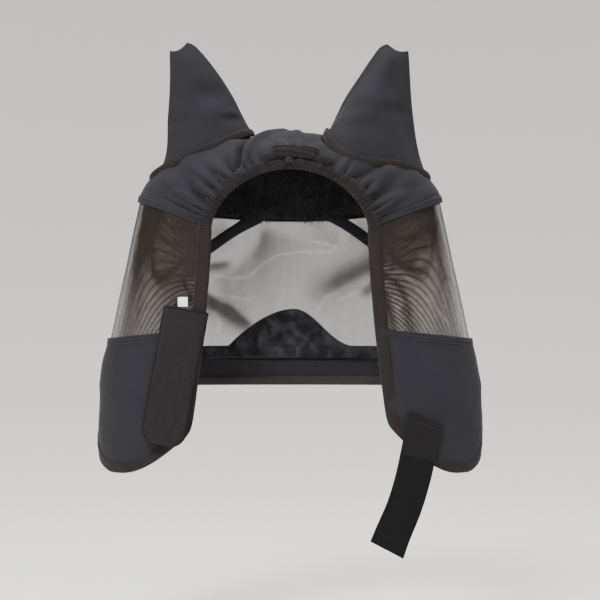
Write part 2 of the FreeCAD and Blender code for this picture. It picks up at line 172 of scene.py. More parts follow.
def section(t, z):
    """Points on the level sections: t is 0 at the front's middle and +-1 at the rear edges."""
    t, z = np.broadcast_arrays(np.asarray(t, float), np.asarray(z, float))
    half, edge = fold_half(z), edge_half(z)
    across, along = quarter(front_angle(t), FRONT_POWER)
    back, out = quarter(rear_angle(t), REAR_POWER)
    front = np.abs(t) <= FOLD_SHARE
    x = np.where(front, half * across, edge + (half - edge) * out)
    y = np.where(front, FOLD_Y + (front_y(z) - FOLD_Y) * along, FOLD_Y * (1 - back))
    return np.stack([np.sign(t + 1e-12) * x, y, z], -1)


def rear_face(x, z):
    """Points of the rear-facing half of a side at given X and Z."""
    edge = edge_half(z)
    out = np.clip((np.abs(x) - edge) / (fold_half(z) - edge), 0, 1)
    return np.stack([x, FOLD_Y * (1 - (1 - out ** REAR_POWER) ** (1 / REAR_POWER)), z], -1)


def seam_height(t, front_z, fold_z, edge_z):
    """Height of a seam round the hood, from its heights at the front, the fold and the rear edge."""
    front = mix(front_z, fold_z, np.sin(front_angle(t)) ** 2)
    rear = mix(edge_z, fold_z, quarter(rear_angle(t), REAR_POWER)[1])
    return np.where(np.abs(t) <= FOLD_SHARE, front, rear)


def crown_seam(t):
    return seam_height(t, SEAM_BROW_Z, SEAM_FOLD_Z, SEAM_EDGE_Z)


def cheek_seam(t):
    return seam_height(t, NOSE_SEAM_Z, CHEEK_FOLD_Z, CHEEK_EDGE_Z)


def hem_drop(t):
    return smooth((np.abs(t) - HEM_DROP_T[0]) / (HEM_DROP_T[1] - HEM_DROP_T[0]))


def hem(t):
    """Height of the bottom edge; the left cheek's rear corner hangs a little fuller."""
    low = HEM_NOSE_Z - HEM_DROP * hem_drop(t)
    corner = np.where(np.sign(t) < 0, LEFT_CORNER_RISE, HEM_CORNER_RISE)
    return low + corner * np.clip((np.abs(t) - CORNER_T) / (1 - CORNER_T), 0, 1) ** CORNER_POWER


def arch(s):
    a = np.asarray(s) * np.pi / 2
    up = np.abs(np.cos(a)) ** ARCH_POWER
    return np.stack([EDGE_TOP_HALF * np.sin(a), 0 * a, SEAM_EDGE_Z + ARCH_HEIGHT * up], -1)


def crest(s):
    across, along = quarter(np.abs(s) * np.pi / 2, CREST_POWER)
    return np.stack([np.sign(s + 1e-12) * FOLD_TOP_HALF * across, FOLD_Y + 0 * across,
                     mix(SEAM_FOLD_Z, CREST_Z, along)], -1)


def brow(s):
    t = FOLD_SHARE * np.asarray(s)
    return section(t, crown_seam(t))


def rear_share(s):
    rear, front = length(crest(s) - arch(s)), length(brow(s) - crest(s))
    return rear / (rear + front)


def profile_length(s):
    """Rough length of the crown from the arch to the brow: its curve is longer than its two chords."""
    return CROWN_CURVE * (length(crest(s) - arch(s)) + length(brow(s) - crest(s)))


def crown(s, t):
    """Points on the crown: s from the arch's left foot to its right, t from arch to brow seam."""
    s, t = np.broadcast_arrays(np.asarray(s, float), np.asarray(t, float))
    share, top, low, end = rear_share(s), crest(s), arch(s), brow(s)
    back, up = quarter(np.pi / 2 * (1 - np.clip(t / share, 0, 1)), REAR_POWER)
    ahead, over = quarter(np.pi / 2 * np.clip((t - share) / (1 - share + 1e-9), 0, 1), CROWN_FRONT_POWER)
    rear, base = t <= share, np.where((t <= share)[..., None], low, end)
    k, w = np.where(rear, up, over), np.where(rear, back, ahead)
    return np.stack([mix(base[..., 0], top[..., 0], k), mix(top[..., 1], base[..., 1], w),
                     mix(base[..., 2], top[..., 2], k)], -1)


def away(points):
    """Rough direction out of the hood, to tell a surface's outside."""
    return points - np.stack([0 * points[..., 0], FOLD_Y + 0 * points[..., 0],
                              np.minimum(points[..., 2], -80)], -1)


def normals(shape, u, v, v_step=NORMAL_STEP):
    """Outward unit normals of a surface function."""
    u, v = np.broadcast_arrays(np.asarray(u, float), np.asarray(v, float))
    low_u, high_u = np.clip(u - NORMAL_STEP, -1, 1), np.clip(u + NORMAL_STEP, -1, 1)
    n = unit(np.cross(shape(high_u, v) - shape(low_u, v), shape(u, v + v_step) - shape(u, v - v_step)))
    side = np.sum(n * away(shape(u, v)), -1)
    return n * np.where(side < 0, -1, 1)[..., None]


def section_normals(t, z):
    return normals(section, t, z, 1.0)


def crown_normals(s, t):
    """Normals of the crown, taken a little inside its edges, where its shape is smooth."""
    return normals(crown, np.clip(s, -0.985, 0.985), np.clip(t, 0.006, 0.985))


# --- Meshes ---
def new_object(name, verts, faces, material, uv=None, closed=False):
    """A mesh object from millimetres; a closed one gets its faces turned outwards."""
    mesh = bpy.data.meshes.new(name)
    mesh.from_pydata((np.asarray(verts) * MM).tolist(), [], [list(face) for face in faces])
    if uv is not None:
        layer = mesh.uv_layers.new(name="weave")
        index = np.zeros(len(mesh.loops), int)
        mesh.loops.foreach_get("vertex_index", index)
        layer.data.foreach_set("uv", (np.asarray(uv)[index] * MM).astype(np.float32).ravel())
    mesh.polygons.foreach_set("use_smooth", np.ones(len(mesh.polygons), bool))
    mesh.materials.append(material)
    mesh.validate()
    if closed:
        turned = bmesh.new()
        turned.from_mesh(mesh)
        bmesh.ops.recalc_face_normals(turned, faces=turned.faces)
        turned.to_mesh(mesh)
        turned.free()
    obj = bpy.data.objects.new(name, mesh)
    bpy.context.scene.collection.objects.link(obj)
    return obj


def quads(nu, nv, wrap=False):
    """Faces of a grid of nu by nv points, wrapped round in v if asked."""
    i, j = grid(np.arange(nu - 1), np.arange(nv if wrap else nv - 1))
    i, j = i.ravel(), j.ravel()
    k = (j + 1) % nv
    return np.stack([i * nv + j, (i + 1) * nv + j, (i + 1) * nv + k, i * nv + k], -1)


def grid_uv(points):
    """Arc lengths along both directions of a grid, for the weave."""
    u = np.concatenate([[0], np.cumsum(length(np.diff(points, axis=0)).mean(1))])
    v = np.concatenate([[0], np.cumsum(length(np.diff(points, axis=1)).mean(0))])
    return flat_grid(u, v)


def flat_grid(u, v):
    return np.stack(grid(u, v), -1).reshape(-1, 2)


def cloth(name, points, outside, material, thick, keep=None, rise=1.0):
    """A cloth panel over a grid of points, thickened outwards (rise 1) or both ways (rise 0)."""
    nu, nv = points.shape[:2]
    faces = quads(nu, nv)
    if keep is not None:
        faces = faces[keep.ravel()]
    mid = faces[len(faces) // 2]
    p = points.reshape(-1, 3)
    n = np.cross(p[mid[1]] - p[mid[0]], p[mid[3]] - p[mid[0]])
    if np.dot(n, outside.reshape(-1, 3)[mid[0]]) < 0:
        faces = faces[:, ::-1]
    used, index = np.unique(faces, return_inverse=True)
    obj = new_object(name, p[used], index.reshape(faces.shape), material, grid_uv(points)[used])
    if thick:
        solid = obj.modifiers.new("thickness", "SOLIDIFY")
        solid.thickness, solid.offset = thick * MM, rise
        solid.use_even_offset = False
    return obj


def sweep(name, path, across, up, width, profile, material):
    """A band swept along a path: profile holds (share of width, height) points round its section."""
    width = np.broadcast_to(width, len(path))
    profile = np.asarray(profile)
    points = (path[:, None] + across[:, None] * (profile[None, :, :1] * width[:, None, None])
              + up[:, None] * profile[None, :, 1:])
    n, m = len(path), len(profile)
    ends = [list(range(m)), [(n - 1) * m + k for k in range(m)]]
    faces = quads(n, m, True).tolist() + ends
    uv = flat_grid(run_along(path), run_along(points[n // 2]))
    return new_object(name, points.reshape(-1, 3), faces, material, uv, closed=True)


def tape_profile(thick, count):
    """A flat folded tape's section: shares of its width against height, rounded at both edges."""
    k = np.linspace(0, 1, count)
    height = thick * (1 - (2 * k - 1) ** 6 * 0.85)
    top = np.stack([k, height], -1)
    bottom = np.stack([k[::-1], -0.35 * height[::-1]], -1)
    return np.concatenate([top, bottom])


CLOTH_STITCH, TAPE_STITCH, CLOSURE_STITCH = (3.0, 0.26), (3.2, 0.26), (3.0, 0.28)    # spacing, radius
STITCH_MARKS, STITCH_LIFT = np.array([0.06, 0.3, 0.58, 0.82]), np.array([-0.35, 0.45, 0.45, -0.35])
STITCH_ANGLES = 2 * np.pi * np.arange(5) / 5       # round the thread's section


def stitching(name, runs, material):
    """A row of stitches for each run of (points, up directions, spacing, radius). Each stitch is four
    rings of thread, and dives into the cloth at both ends."""
    verts, faces = [], []
    rings, sides = len(STITCH_MARKS), len(STITCH_ANGLES)
    walls = quads(rings, sides, True)[:, ::-1]
    for points, up, spacing, radius in runs:
        at = run_along(points)
        for start in np.arange(max(2, int(at[-1] / spacing))) * spacing:
            marks = start + spacing * STITCH_MARKS
            lift = unit(resampled(up, at, marks))
            centre = resampled(points, at, marks) + lift * (STITCH_LIFT * radius)[:, None]
            side = unit(np.cross(unit(centre[-1] - centre[0]), lift))
            base = len(verts)
            for c, s, l in zip(centre, side, lift):
                for angle in STITCH_ANGLES:
                    verts.append(c + radius * (s * math.cos(angle) + l * math.sin(angle)))
            first = [base + k for k in range(sides)]
            faces += (walls + base).tolist() + [first[::-1], [k + sides * (rings - 1) for k in first]]
    return new_object(name, verts, faces, material, np.array(verts)[:, :2], closed=True)


# --- Materials ---
def node(tree, kind, **values):
    made = tree.nodes.new(kind)
    for key, value in values.items():
        if key in made.inputs:
            made.inputs[key].default_value = value
        else:
            setattr(made, key, value)
    return made


FINE_SCALE, WAVE_TURN, SHEEN_PATCH_TWIST = 1400.0, 0.6, 0.6     # fine noise, how wavy the threads lie, and how the painted sheen patches on pile swirl
SHEEN_ROUGH, ROUGH_SPREAD = 0.45, 0.16
FINE_RELIEF, RELIEF = 0.8, 0.7         # the fine noise's share in the bump, and the bump's strength


def fabric(name, colour, weave=(0.9, 0.9), weave_shade=0.3, rough=0.85, sheen=0.06, mottle=0.25,
           mottle_scale=60.0, grain=0.18, tint=None, weave_kind="knit", depth_mm=0.12, gloss=0.12,
           sheen_patch_contrast=0.0):
    """A woven or knitted cloth: colour with two scales of variation, and a bump of its threads.
    The threads' pattern also darkens the colour between them: painted shade in the grooves.
    weave gives the pitch of its threads in millimetres, along and across."""
    material = bpy.data.materials.new(name)
    material.use_nodes = True
    tree = material.node_tree
    link = tree.links.new
    shader = tree.nodes["Principled BSDF"].inputs
    shader["Sheen Weight"].default_value = sheen
    shader["Sheen Roughness"].default_value = SHEEN_ROUGH
    shader["Specular IOR Level"].default_value = gloss
    place = node(tree, "ShaderNodeUVMap", uv_map="weave")
    solid = node(tree, "ShaderNodeTexCoord")

    def calc(operation, *values, clamp=False):
        made = node(tree, "ShaderNodeMath", operation=operation, use_clamp=clamp)
        for socket, value in zip(made.inputs, values):
            if isinstance(value, float):
                socket.default_value = value
            else:
                link(value, socket)
        return made.outputs[0]

    def wave(axis, pitch):
        made = node(tree, "ShaderNodeTexWave", wave_type="BANDS", bands_direction=axis, wave_profile="SIN")
        made.inputs["Scale"].default_value = 1000.0 / pitch / 20.0 * 2 * math.pi
        made.inputs["Distortion"].default_value = WAVE_TURN
        made.inputs["Detail Scale"].default_value = 2.0
        link(place.outputs["UV"], made.inputs["Vector"])
        return made.outputs["Fac"]

    def noise(**values):
        made = node(tree, "ShaderNodeTexNoise", **values)
        link(solid.outputs["Object"], made.inputs["Vector"])
        return made.outputs["Fac"]

    # For pile, the patches swirl and get a stronger contrast: painted sheen, lighter where the pile would
    # catch the light.
    patches = noise(Scale=mottle_scale, Detail=4.0, Roughness=0.6, Distortion=SHEEN_PATCH_TWIST if sheen_patch_contrast else 0.0)
    if sheen_patch_contrast:
        patches = calc("MULTIPLY_ADD", patches, sheen_patch_contrast, 0.5 - 0.5 * sheen_patch_contrast, clamp=True)
    fine = noise(Scale=FINE_SCALE, Detail=2.0, Roughness=0.7)
    crossing = "MULTIPLY" if weave_kind == "knit" else "MAXIMUM"
    threads = calc(crossing, wave("X", weave[0]), wave("Y", weave[1]))

    shade = calc("MULTIPLY_ADD", patches, mottle * 2, 1.0 - mottle)
    # The thread pattern also darkens the colour between the threads: painted shade in the grooves, matched to
    # the bump.
    for pattern, span in ((fine, grain * 2), (threads, weave_shade)):
        shade = calc("MULTIPLY", shade, calc("MULTIPLY_ADD", pattern, span, 1.0 - span / 2))
    base = node(tree, "ShaderNodeMix", data_type="RGBA", blend_type="MIX")
    base.inputs["A"].default_value = (*colour, 1)
    base.inputs["B"].default_value = (*(tint or [c * 1.25 for c in colour]), 1)
    link(patches, base.inputs["Factor"])
    dyed = node(tree, "ShaderNodeVectorMath", operation="SCALE")
    link(base.outputs["Result"], dyed.inputs[0])
    link(shade, dyed.inputs["Scale"])
    link(dyed.outputs[0], shader["Base Color"])
    link(calc("MULTIPLY_ADD", fine, ROUGH_SPREAD, rough - ROUGH_SPREAD / 2), shader["Roughness"])
    relief = node(tree, "ShaderNodeBump", Strength=RELIEF, Distance=depth_mm * MM)
    link(calc("MULTIPLY_ADD", fine, FINE_RELIEF, threads), relief.inputs["Height"])
    link(relief.outputs["Normal"], shader["Normal"])
    return material


CROWN_CLOTH = fabric("crown_cloth", (0.0122, 0.0119, 0.0152), weave=(0.9, 1.1), mottle=0.14, grain=0.14,
                     sheen=0.045)
CHEEK_CLOTH = fabric("cheek_cloth", (0.0128, 0.0123, 0.0160), weave=(0.9, 1.1), mottle=0.12, grain=0.14)
BAND_CLOTH = fabric("nose_band_cloth", (0.0115, 0.0112, 0.0142), weave=(0.8, 1.6), mottle=0.1, grain=0.08)
TAPE = fabric("binding_tape", (0.0102, 0.0078, 0.0078), weave=(1.0, 1.7), weave_shade=0.45, mottle=0.2,
              grain=0.3, weave_kind="woven", depth_mm=0.25)
# The ribs' grooves are darkened in the colour as well as in the bump: painted shade.
ELASTIC = fabric("gathered_elastic", (0.0130, 0.0100, 0.0098), weave=(3.1, 1.3), weave_shade=0.85,
                 mottle=0.3, grain=0.35, depth_mm=0.8)
PATCH_TAPE = fabric("poll_patch_tape", (0.0058, 0.0048, 0.0046), weave=(2.4, 1.3), weave_shade=0.6,
                    mottle=0.5, mottle_scale=160.0, grain=0.35, depth_mm=0.5)
HEM_TAPE = fabric("hem_tape", (0.0180, 0.0160, 0.0160), weave=(1.0, 1.7), weave_shade=0.45, mottle=0.2,
                  grain=0.3, weave_kind="woven", depth_mm=0.25)
DARK_TAPE = fabric("dark_tape", (0.0085, 0.0085, 0.0115), weave=(0.9, 1.2), grain=0.15, weave_kind="woven")
MESH_THREAD = fabric("mesh_thread", (0.0200, 0.0160, 0.0138), weave_shade=0.1, rough=0.8, sheen=0.0,
                     gloss=0.03)
# The lighter patches are partly the fleece's own uneven tone and partly painted highlights on its fibres.
FLEECE = fabric("fleece", (0.0050, 0.0046, 0.0052), weave_shade=0.1, mottle=0.7, mottle_scale=70.0,
                tint=(0.030, 0.028, 0.031), sheen=0.14, sheen_patch_contrast=1.8)
# The light swirls are painted sheen: the way the velvet's crushed pile catches the light.
PLUSH = fabric("nose_plush", (0.0012, 0.0012, 0.0018), weave_shade=0.05, mottle=0.98, mottle_scale=70.0,
               tint=(0.026, 0.026, 0.030), sheen=0.05, depth_mm=0.6, sheen_patch_contrast=1.5)
LOOP_PILE = fabric("loop_pile", (0.0108, 0.0100, 0.0102), weave=(2.2, 1.3), weave_shade=0.3, mottle=0.2,
                   mottle_scale=200.0, grain=0.4, rough=0.95, sheen=0.08, depth_mm=0.5)
WEBBING = fabric("webbing", (0.0050, 0.0045, 0.0048), weave=(1.2, 1.6), weave_shade=0.4, grain=0.25,
                 weave_kind="woven", depth_mm=0.25)
HOOK_PILE = fabric("hook_pile", (0.0026, 0.0024, 0.0028), weave=(1.6, 1.6), weave_shade=0.7, grain=0.45,
                   rough=0.7, sheen=0.0, depth_mm=0.6)
THREAD = fabric("sewing_thread", (0.0240, 0.0240, 0.0300), weave_shade=0.1, rough=0.6)
TAPE_THREAD = fabric("tape_thread", (0.0100, 0.0085, 0.0085), weave_shade=0.1, rough=0.6)
LABEL_CLOTH = fabric("label_cloth", (0.78, 0.79, 0.80), weave=(0.5, 0.5), weave_shade=0.1, mottle=0.05,
                     grain=0.05, tint=(0.82, 0.83, 0.85), sheen=0.0)


# --- Motion: how pieces follow the bodies ---
SIDE_SLOPE = np.array([0.0095, -0.026, -0.004])    # growth of the swing per millimetre, right side
SIDE_START = np.array([150.0, 54.8, -60.0])        # where the swing begins, right side


def bend(piece, body, other, start, end, slot, *nodes):
    """Bakes a piece's placement into its mesh and hides the parts that it replaces; the two bodies,
    the two points in millimetres and the slot are not used.
    """
    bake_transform(piece)
    finish_piece(piece, slot, nodes)


def ride_side(piece, side, slot, *nodes):
    """Hands a piece to bend, with the hood, its side and two points found by one rule for every piece of that
    side.
    """
    flip = np.array([side, 1.0, 1.0])
    start = SIDE_START * flip
    reach = SIDE_SLOPE * flip / np.dot(SIDE_SLOPE, SIDE_SLOPE)
    bend(piece, "hood", "cheek_left" if side < 0 else "cheek_right", start, start + reach, slot, *nodes)


def ride_part(piece, word, slot, *nodes):
    """The middle of a piece is attached to the hood; its left or right end is handed to ride_side."""
    if word == "middle":
        ride_body(piece, "hood", slot, *nodes)
    else:
        ride_side(piece, dict(SIDES)[word], slot, *nodes)


def finish_piece(piece, slot, nodes):
    if nodes:
        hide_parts(*nodes)


def ride_body(piece, body, slot, *nodes):
    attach(piece, body)
    finish_piece(piece, slot, nodes)


def declare_sheet(piece, points, held, *rests_on):
    """Works out the mean width and length of a sheet's grid of points, and does nothing with them."""
    width = length(np.diff(points, axis=0)).sum(0).mean() * MM
    long = length(np.diff(points, axis=1)).sum(1).mean() * MM


# --- Folds ---
def fold_line(x, z, start, end, width, height):
    """A steep cloth fold along a line in X and Z: height is signed, and falls off to both ends."""
    start, end = np.array(start), np.array(end)
    run = end - start
    size = np.hypot(*run)
    ux, uz = run / size
    along = ((x - start[0]) * ux + (z - start[1]) * uz) / size
    off = -(x - start[0]) * uz + (z - start[1]) * ux
    window = smooth((along + 0.25) / 0.4) * smooth((1.25 - along) / 0.5)
    return height * window * 1.65 * (off / width) * np.exp(-0.5 * (off / width) ** 2)


# Folds that stand off the mesh's smooth shape: start and end in X and Z, width and height.
MESH_FOLDS = [((-118, -170), (-44, -216), 7.5, 4.0), ((104, -138), (22, -192), 11.0, -4.0),
              ((-28, -110), (-62, -168), 12.0, -3.0)]
# Painted shade and highlight on the mesh: threads are made thicker where a fold looks dark, for its denser
# look and its shade, and thinner along a lit crease, as a painted highlight. Each line: points in X and Z,
# width on its left and right side, strength, and the share of its length that fades at its start and at its
# end.
FRONT_LINES = [
    ([(-96, -181), (-68, -197), (-38, -220)], 3.6, 7.5, 1.15, (0.0, 0.25)),
    ([(-96, -181), (-50, -214)], 10.0, 15.0, 0.34, (0.0, 0.4)),
    ([(-93, -146), (-80, -144), (-62, -142)], 2.6, 5.5, 0.95, (0.0, 0.5)),
    ([(-26, -98), (-32, -120), (-46, -142), (-66, -158), (-90, -164)], 30.0, 5.0, 0.48, (0.15, 0.15)),
    ([(-26, -98), (-32, -120), (-46, -144)], 9.0, 2.5, 0.22, (0.1, 0.3)),
    ([(100, -140), (84, -149), (62, -160), (40, -173), (12, -190)], 5.0, 10.0, 0.80, (0.0, 0.6)),
    ([(96, -146), (56, -168), (14, -196)], 14.0, 20.0, 0.30, (0.0, 0.4)),
    ([(97, -166), (88, -172), (76, -179)], 5.0, 3.0, 0.95, (0.0, 0.5)),
    ([(20, -96), (44, -112), (60, -120)], 6.0, 9.0, 0.22, (0.3, 0.3)),
    ([(-94, -154), (-66, -160), (-48, -158), (-30, -142), (-14, -133), (10, -129), (46, -129),
      (52, -124), (36, -119), (14, -115)], 0.9, 0.9, -0.30, (0.05, 0.1)),
    ([(-92, -176), (-70, -180), (-30, -186)], 0.9, 0.9, -0.20, (0.1, 0.4)),
    ([(52, -188), (60, -181), (76, -175), (94, -170)], 0.9, 0.9, -0.30, (0.1, 0.1)),
    ([(34, -206), (30, -196), (42, -180), (66, -168)], 0.9, 0.9, -0.24, (0.2, 0.3)),
    ([(-88, -196), (-80, -210), (-84, -226)], 1.0, 1.0, -0.25, (0.1, 0.1)),
    ([(26, -100), (22, -110)], 0.7, 0.7, -0.20, (0.2, 0.2)),
    ([(31, -102), (27, -113)], 0.7, 0.7, -0.20, (0.2, 0.2)),
    ([(36, -105), (32, -116)], 0.7, 0.7, -0.20, (0.2, 0.2)),
    ([(24, -132), (34, -146)], 0.7, 0.7, -0.18, (0.2, 0.2)),
    ([(30, -131), (41, -147)], 0.7, 0.7, -0.18, (0.2, 0.2)),
    ([(-92, -116), (-66, -104)], 9.0, 9.0, 0.42, (0.0, 0.3)),
    ([(94, -112), (66, -102)], 9.0, 9.0, 0.42, (0.0, 0.3))]
# On the sides too: thicker threads paint shade along dark folds, and thinner ones paint highlights along lit
# creases.
LEFT_LINES = [
    ([(-136, -144), (-108, -137), (-84, -126)], 1.0, 1.0, -0.34, (0.1, 0.1)),
    ([(-116, -156), (-100, -168), (-92, -182)], 1.0, 1.0, -0.34, (0.2, 0.2)),
    ([(-91, -154), (-104, -170), (-118, -184)], 1.0, 1.0, -0.34, (0.2, 0.2)),
    ([(-126, -150), (-114, -164)], 9.0, 9.0, 0.30, (0.3, 0.3)),
    ([(-104, -112), (-112, -140)], 6.0, 9.0, 0.25, (0.2, 0.3)),
    ([(-150, -120), (-142, -166)], 6.0, 6.0, 0.22, (0.2, 0.3))]
RIGHT_LINES = [
    ([(104, -143), (116, -150), (146, -180), (174, -212)], 1.0, 1.0, -0.32, (0.1, 0.1)),
    ([(100, -146), (112, -166), (124, -194)], 1.0, 1.0, -0.30, (0.1, 0.2)),
    ([(121, -146), (108, -160), (99, -176)], 1.0, 1.0, -0.30, (0.2, 0.2)),
    ([(110, -182), (116, -180), (121, -187), (116, -193), (110, -189)], 1.1, 1.1, -0.34, (0.1, 0.1)),
    ([(132, -100), (128, -130), (118, -160)], 6.0, 8.0, 0.42, (0.1, 0.3)),
    ([(150, -98), (146, -140)], 6.0, 6.0, 0.20, (0.1, 0.3)),
    ([(104, -186), (96, -196)], 6.0, 6.0, 0.40, (0.2, 0.3))]


def shade_line_thickening(x, z, points, left, right, strength, fades):
    """How much a line of painted shade thickens the threads beside it, with its own width on each side;
    a negative strength thins them, as a painted highlight.
    """
    points = np.array(points, float)
    steps = np.diff(points, axis=0)
    sizes = np.hypot(steps[:, 0], steps[:, 1])
    nearest, place, which = np.full(x.shape, np.inf), np.zeros(x.shape), np.zeros(x.shape)
    for start, step, size, before in zip(points, steps, sizes, np.cumsum(sizes) - sizes):
        dx, dz = x - start[0], z - start[1]
        along = np.clip((dx * step[0] + dz * step[1]) / size, 0, size)
        off_x, off_z = dx - along * step[0] / size, dz - along * step[1] / size
        away_from = np.hypot(off_x, off_z)
        closer = away_from < nearest
        nearest = np.where(closer, away_from, nearest)
        place = np.where(closer, (before + along) / sizes.sum(), place)
        which = np.where(closer, step[0] * dz - step[1] * dx, which)
    fade = smooth((1 - place) / fades[1])
    if fades[0]:
        fade = fade * smooth(place / fades[0])
    return strength * fade * bump(nearest, np.where(which > 0, left, right))


def mesh_height(t, z):
    """How far the mesh's folds stand off its smooth shape."""
    p = section(t, z)
    x = p[..., 0]
    seam = smooth((crown_seam(t) - z) / 14.0) * smooth((z - cheek_seam(t)) / 16.0)
    front = smooth((FOLD_SHARE - 0.02 - np.abs(t)) / 0.12)
    d = front * sum(fold_line(x, z, *f) for f in MESH_FOLDS)
    waves = (0.25 + 0.45 * front) * np.sin(x / 17.0 + z / 31.0) * np.sin(z / 19.0 - x / 43.0)
    return (d + waves) * seam


# --- Mesh cloth: open threads ---
THREAD_PITCH, THREAD_RADIUS = 1.05, 0.215
THREAD_LAP = 3.0                       # how far the threads run in under the panels around them
MESH_HEIGHT = 150.0                    # gives the number of threads across
MESH_LIFT = 0.6                        # how far the mesh's middle stands off the smooth shape
ACROSS_STEPS, DOWN_STEPS = 112, 50     # points along each thread
# The sides' threads are thicker everywhere, which darkens them, and thicker still high up, where the sides
# look darkest: painted shade. Shares of the radius:
LOW_SHADE, HIGH_SHADE = 0.60, 0.90   # added on the sides everywhere, and more of it high up
SIDE_SHADE = (1.22, 0.90)             # how strongly both apply on the left and on the right
OUTER_SHADE_CUT = 0.6                       # how much of the high part is left off at the outer edge
FRONT_SIDE_THIN = 0.34                 # taken off on the front beside the side folds
MESH_LEAST, MESH_MOST = 0.5, 2.3       # limits of a thread's thickness
FOLD_THIN = (0.78, 0.40)               # taken off threads down and across, where the mesh turns at the fold


def shaded_thread_thickness(t, z):
    """How thick the threads stand: thicker as painted shade along dark folds and high on the sides, thinner
    along lit creases as a painted highlight.
    """
    x = section(t, z)[..., 0]
    front = smooth((FOLD_SHARE - 0.04 - np.abs(t)) / 0.1)
    rear = smooth((np.abs(t) - FOLD_SHARE + 0.02) / 0.05)
    thin = smooth((np.abs(t) - 0.27) / 0.05) * (1 - rear)
    high = smooth((z + 212.0) / 105.0) * (1 - OUTER_SHADE_CUT * smooth((np.abs(x) - 130.0) / 24.0))
    side = np.where(x < 0, SIDE_SHADE[0], SIDE_SHADE[1])
    lines = front * sum(shade_line_thickening(x, z, *line) for line in FRONT_LINES)
    lines = lines + rear * sum(shade_line_thickening(x, z, *line) for line in LEFT_LINES + RIGHT_LINES)
    thick = 1 - FRONT_SIDE_THIN * thin + rear * side * (LOW_SHADE + HIGH_SHADE * high)
    return np.clip(thick + lines, MESH_LEAST, MESH_MOST)


def threads(lines, ups, radius):
    """Three-sided threads along equally long lines of points."""
    tangent = unit(np.gradient(lines, axis=1))
    side = unit(np.cross(tangent, ups))
    lift = unit(np.cross(side, tangent))
    corners = [lines + radius[..., None] * (side * math.cos(a) + lift * math.sin(a))
               for a in (math.pi / 6, math.pi * 5 / 6, math.pi * 3 / 2)]
    rings = np.stack(corners, 2)
    count, steps = lines.shape[:2]
    starts = np.arange(count)[:, None, None] * steps * 3
    walls = (quads(steps, 3, True)[None] + starts).reshape(-1, 4)
    last = 3 * steps - 1
    ends = (np.array([[0, 1, 2], [last, last - 1, last - 2]])[None] + starts).reshape(-1, 3)
    return rings.reshape(-1, 3), walls.tolist() + ends.tolist()


def mesh_point(t, z, lift):
    """Points that stand a lift off the folded mesh, and the normals of its smooth shape."""
    n = section_normals(t, z)
    return section(t, z) + n * (mesh_height(t, z) + lift)[..., None], n


def open_mesh(name, side):
    """The see-through mesh of one half, as two crossing layers of threads."""
    t_fine = np.linspace(0, 1, 400)
    level = mix(crown_seam(t_fine), cheek_seam(t_fine), 0.5)
    run = run_along(section(side * t_fine, level))
    reach = run[-1] - THREAD_LAP
    layers = []
    for down in (True, False):
        count = int((reach if down else MESH_HEIGHT) / THREAD_PITCH)
        stops = np.interp(np.linspace(0, reach, count if down else ACROSS_STEPS), run, t_fine)
        shares = np.linspace(0, 1, DOWN_STEPS if down else count)
        t, v = grid(stops, shares)
        if not down:
            t, v = t.T, v.T
        z = mix(crown_seam(t) + THREAD_LAP, cheek_seam(t) - THREAD_LAP, v)
        wall = smooth((t - 0.34) / 0.09) * smooth((0.775 - t) / 0.09)
        # Thicker threads paint the mesh's shade, and thinner ones the highlights on its lit creases.
        radius = THREAD_RADIUS * shaded_thread_thickness(side * t, z) * (1 - FOLD_THIN[0 if down else 1] * wall)
        lift = MESH_LIFT + THREAD_RADIUS * (-0.6 if down else 0.6)
        layers.append(threads(*mesh_point(side * t, z, lift), radius))
    (down_verts, down_faces), (across_verts, across_faces) = layers
    verts = np.concatenate([down_verts, across_verts])
    faces = down_faces + [[k + len(down_verts) for k in face] for face in across_faces]
    piece = new_object(name, verts, faces, MESH_THREAD, verts[:, [0, 2]], closed=True)
    t, v = grid(np.linspace(0, 1, 60), np.linspace(0, 1, 30))
    declare_sheet(piece, section(side * t, mix(crown_seam(t), cheek_seam(t), v)), "stretched",
                  "crown_panel", "nose_band")
    return piece


def make_mesh():
    for word, side in SIDES:
        piece = open_mesh("open_mesh_" + word, side)
        ride_side(piece, side, "mesh_cloth", "front_mesh", "side_mesh_" + word)


# --- Crown ---
def elastic_share(s):
    return ELASTIC_WIDTH / profile_length(s)


def gather(at):
    """One groove that runs off the elastic: place, width, reach, depth and slant."""
    return (at + rng.uniform(-0.018, 0.018), rng.uniform(0.010, 0.021), rng.uniform(14, 44),
            rng.uniform(3.0, 7.4), rng.uniform(-0.0020, 0.0020))


CENTRE_LAP = -0.002        # how far both halves of a piece go past the middle, in units of s
GATHERS = [gather(at) for at in np.linspace(-0.97, 0.97, 28)]
SIDE_SPAN = 150.0          # millimetres to a unit of s, near the crown's rear seams
EAR_SIDE_GROWTH = 0.25     # how much of an ear's longer reach goes along s


def ear_reach_s(far):
    return EAR_HALF * mix(1, far, EAR_SIDE_GROWTH)


def seam_distance(s, t):
    return np.minimum((1 - t) * profile_length(s), (1 - np.abs(s)) * SIDE_SPAN)


def doubled_edge(distance, width=9.0):
    """The doubled edge of a panel beside its seam, with the dips that its stitching pulls."""
    return (0.9 * smooth((width + 0.6 - distance) / 1.2) - 0.9 * bump(distance - width, 0.9)
            - 0.4 * bump(distance - 4.0, 0.8))


# Dents and ridges beside three lines on the crown. Each: line, place beside it and width in units of s,
# height, then where in t it begins, over what span, where it ends, and over what span.
CROWN_DENTS = [("middle", 0.03, 0.13, -5.5, 0.12, 0.12, 0.67, 0.14),
               ("pleat", -0.014, 0.019, -13.0, 0.05, 0.06, 0.67, 0.12),
               ("pleat", 0.03, 0.022, 5.0, 0.05, 0.06, 0.67, 0.12),
               ("crease", 0.0, 0.012, 1.8, 0.12, 0.10, 0.55, 0.15),
               ("crease", 0.04, 0.014, -2.5, 0.12, 0.10, 0.45, 0.15)]


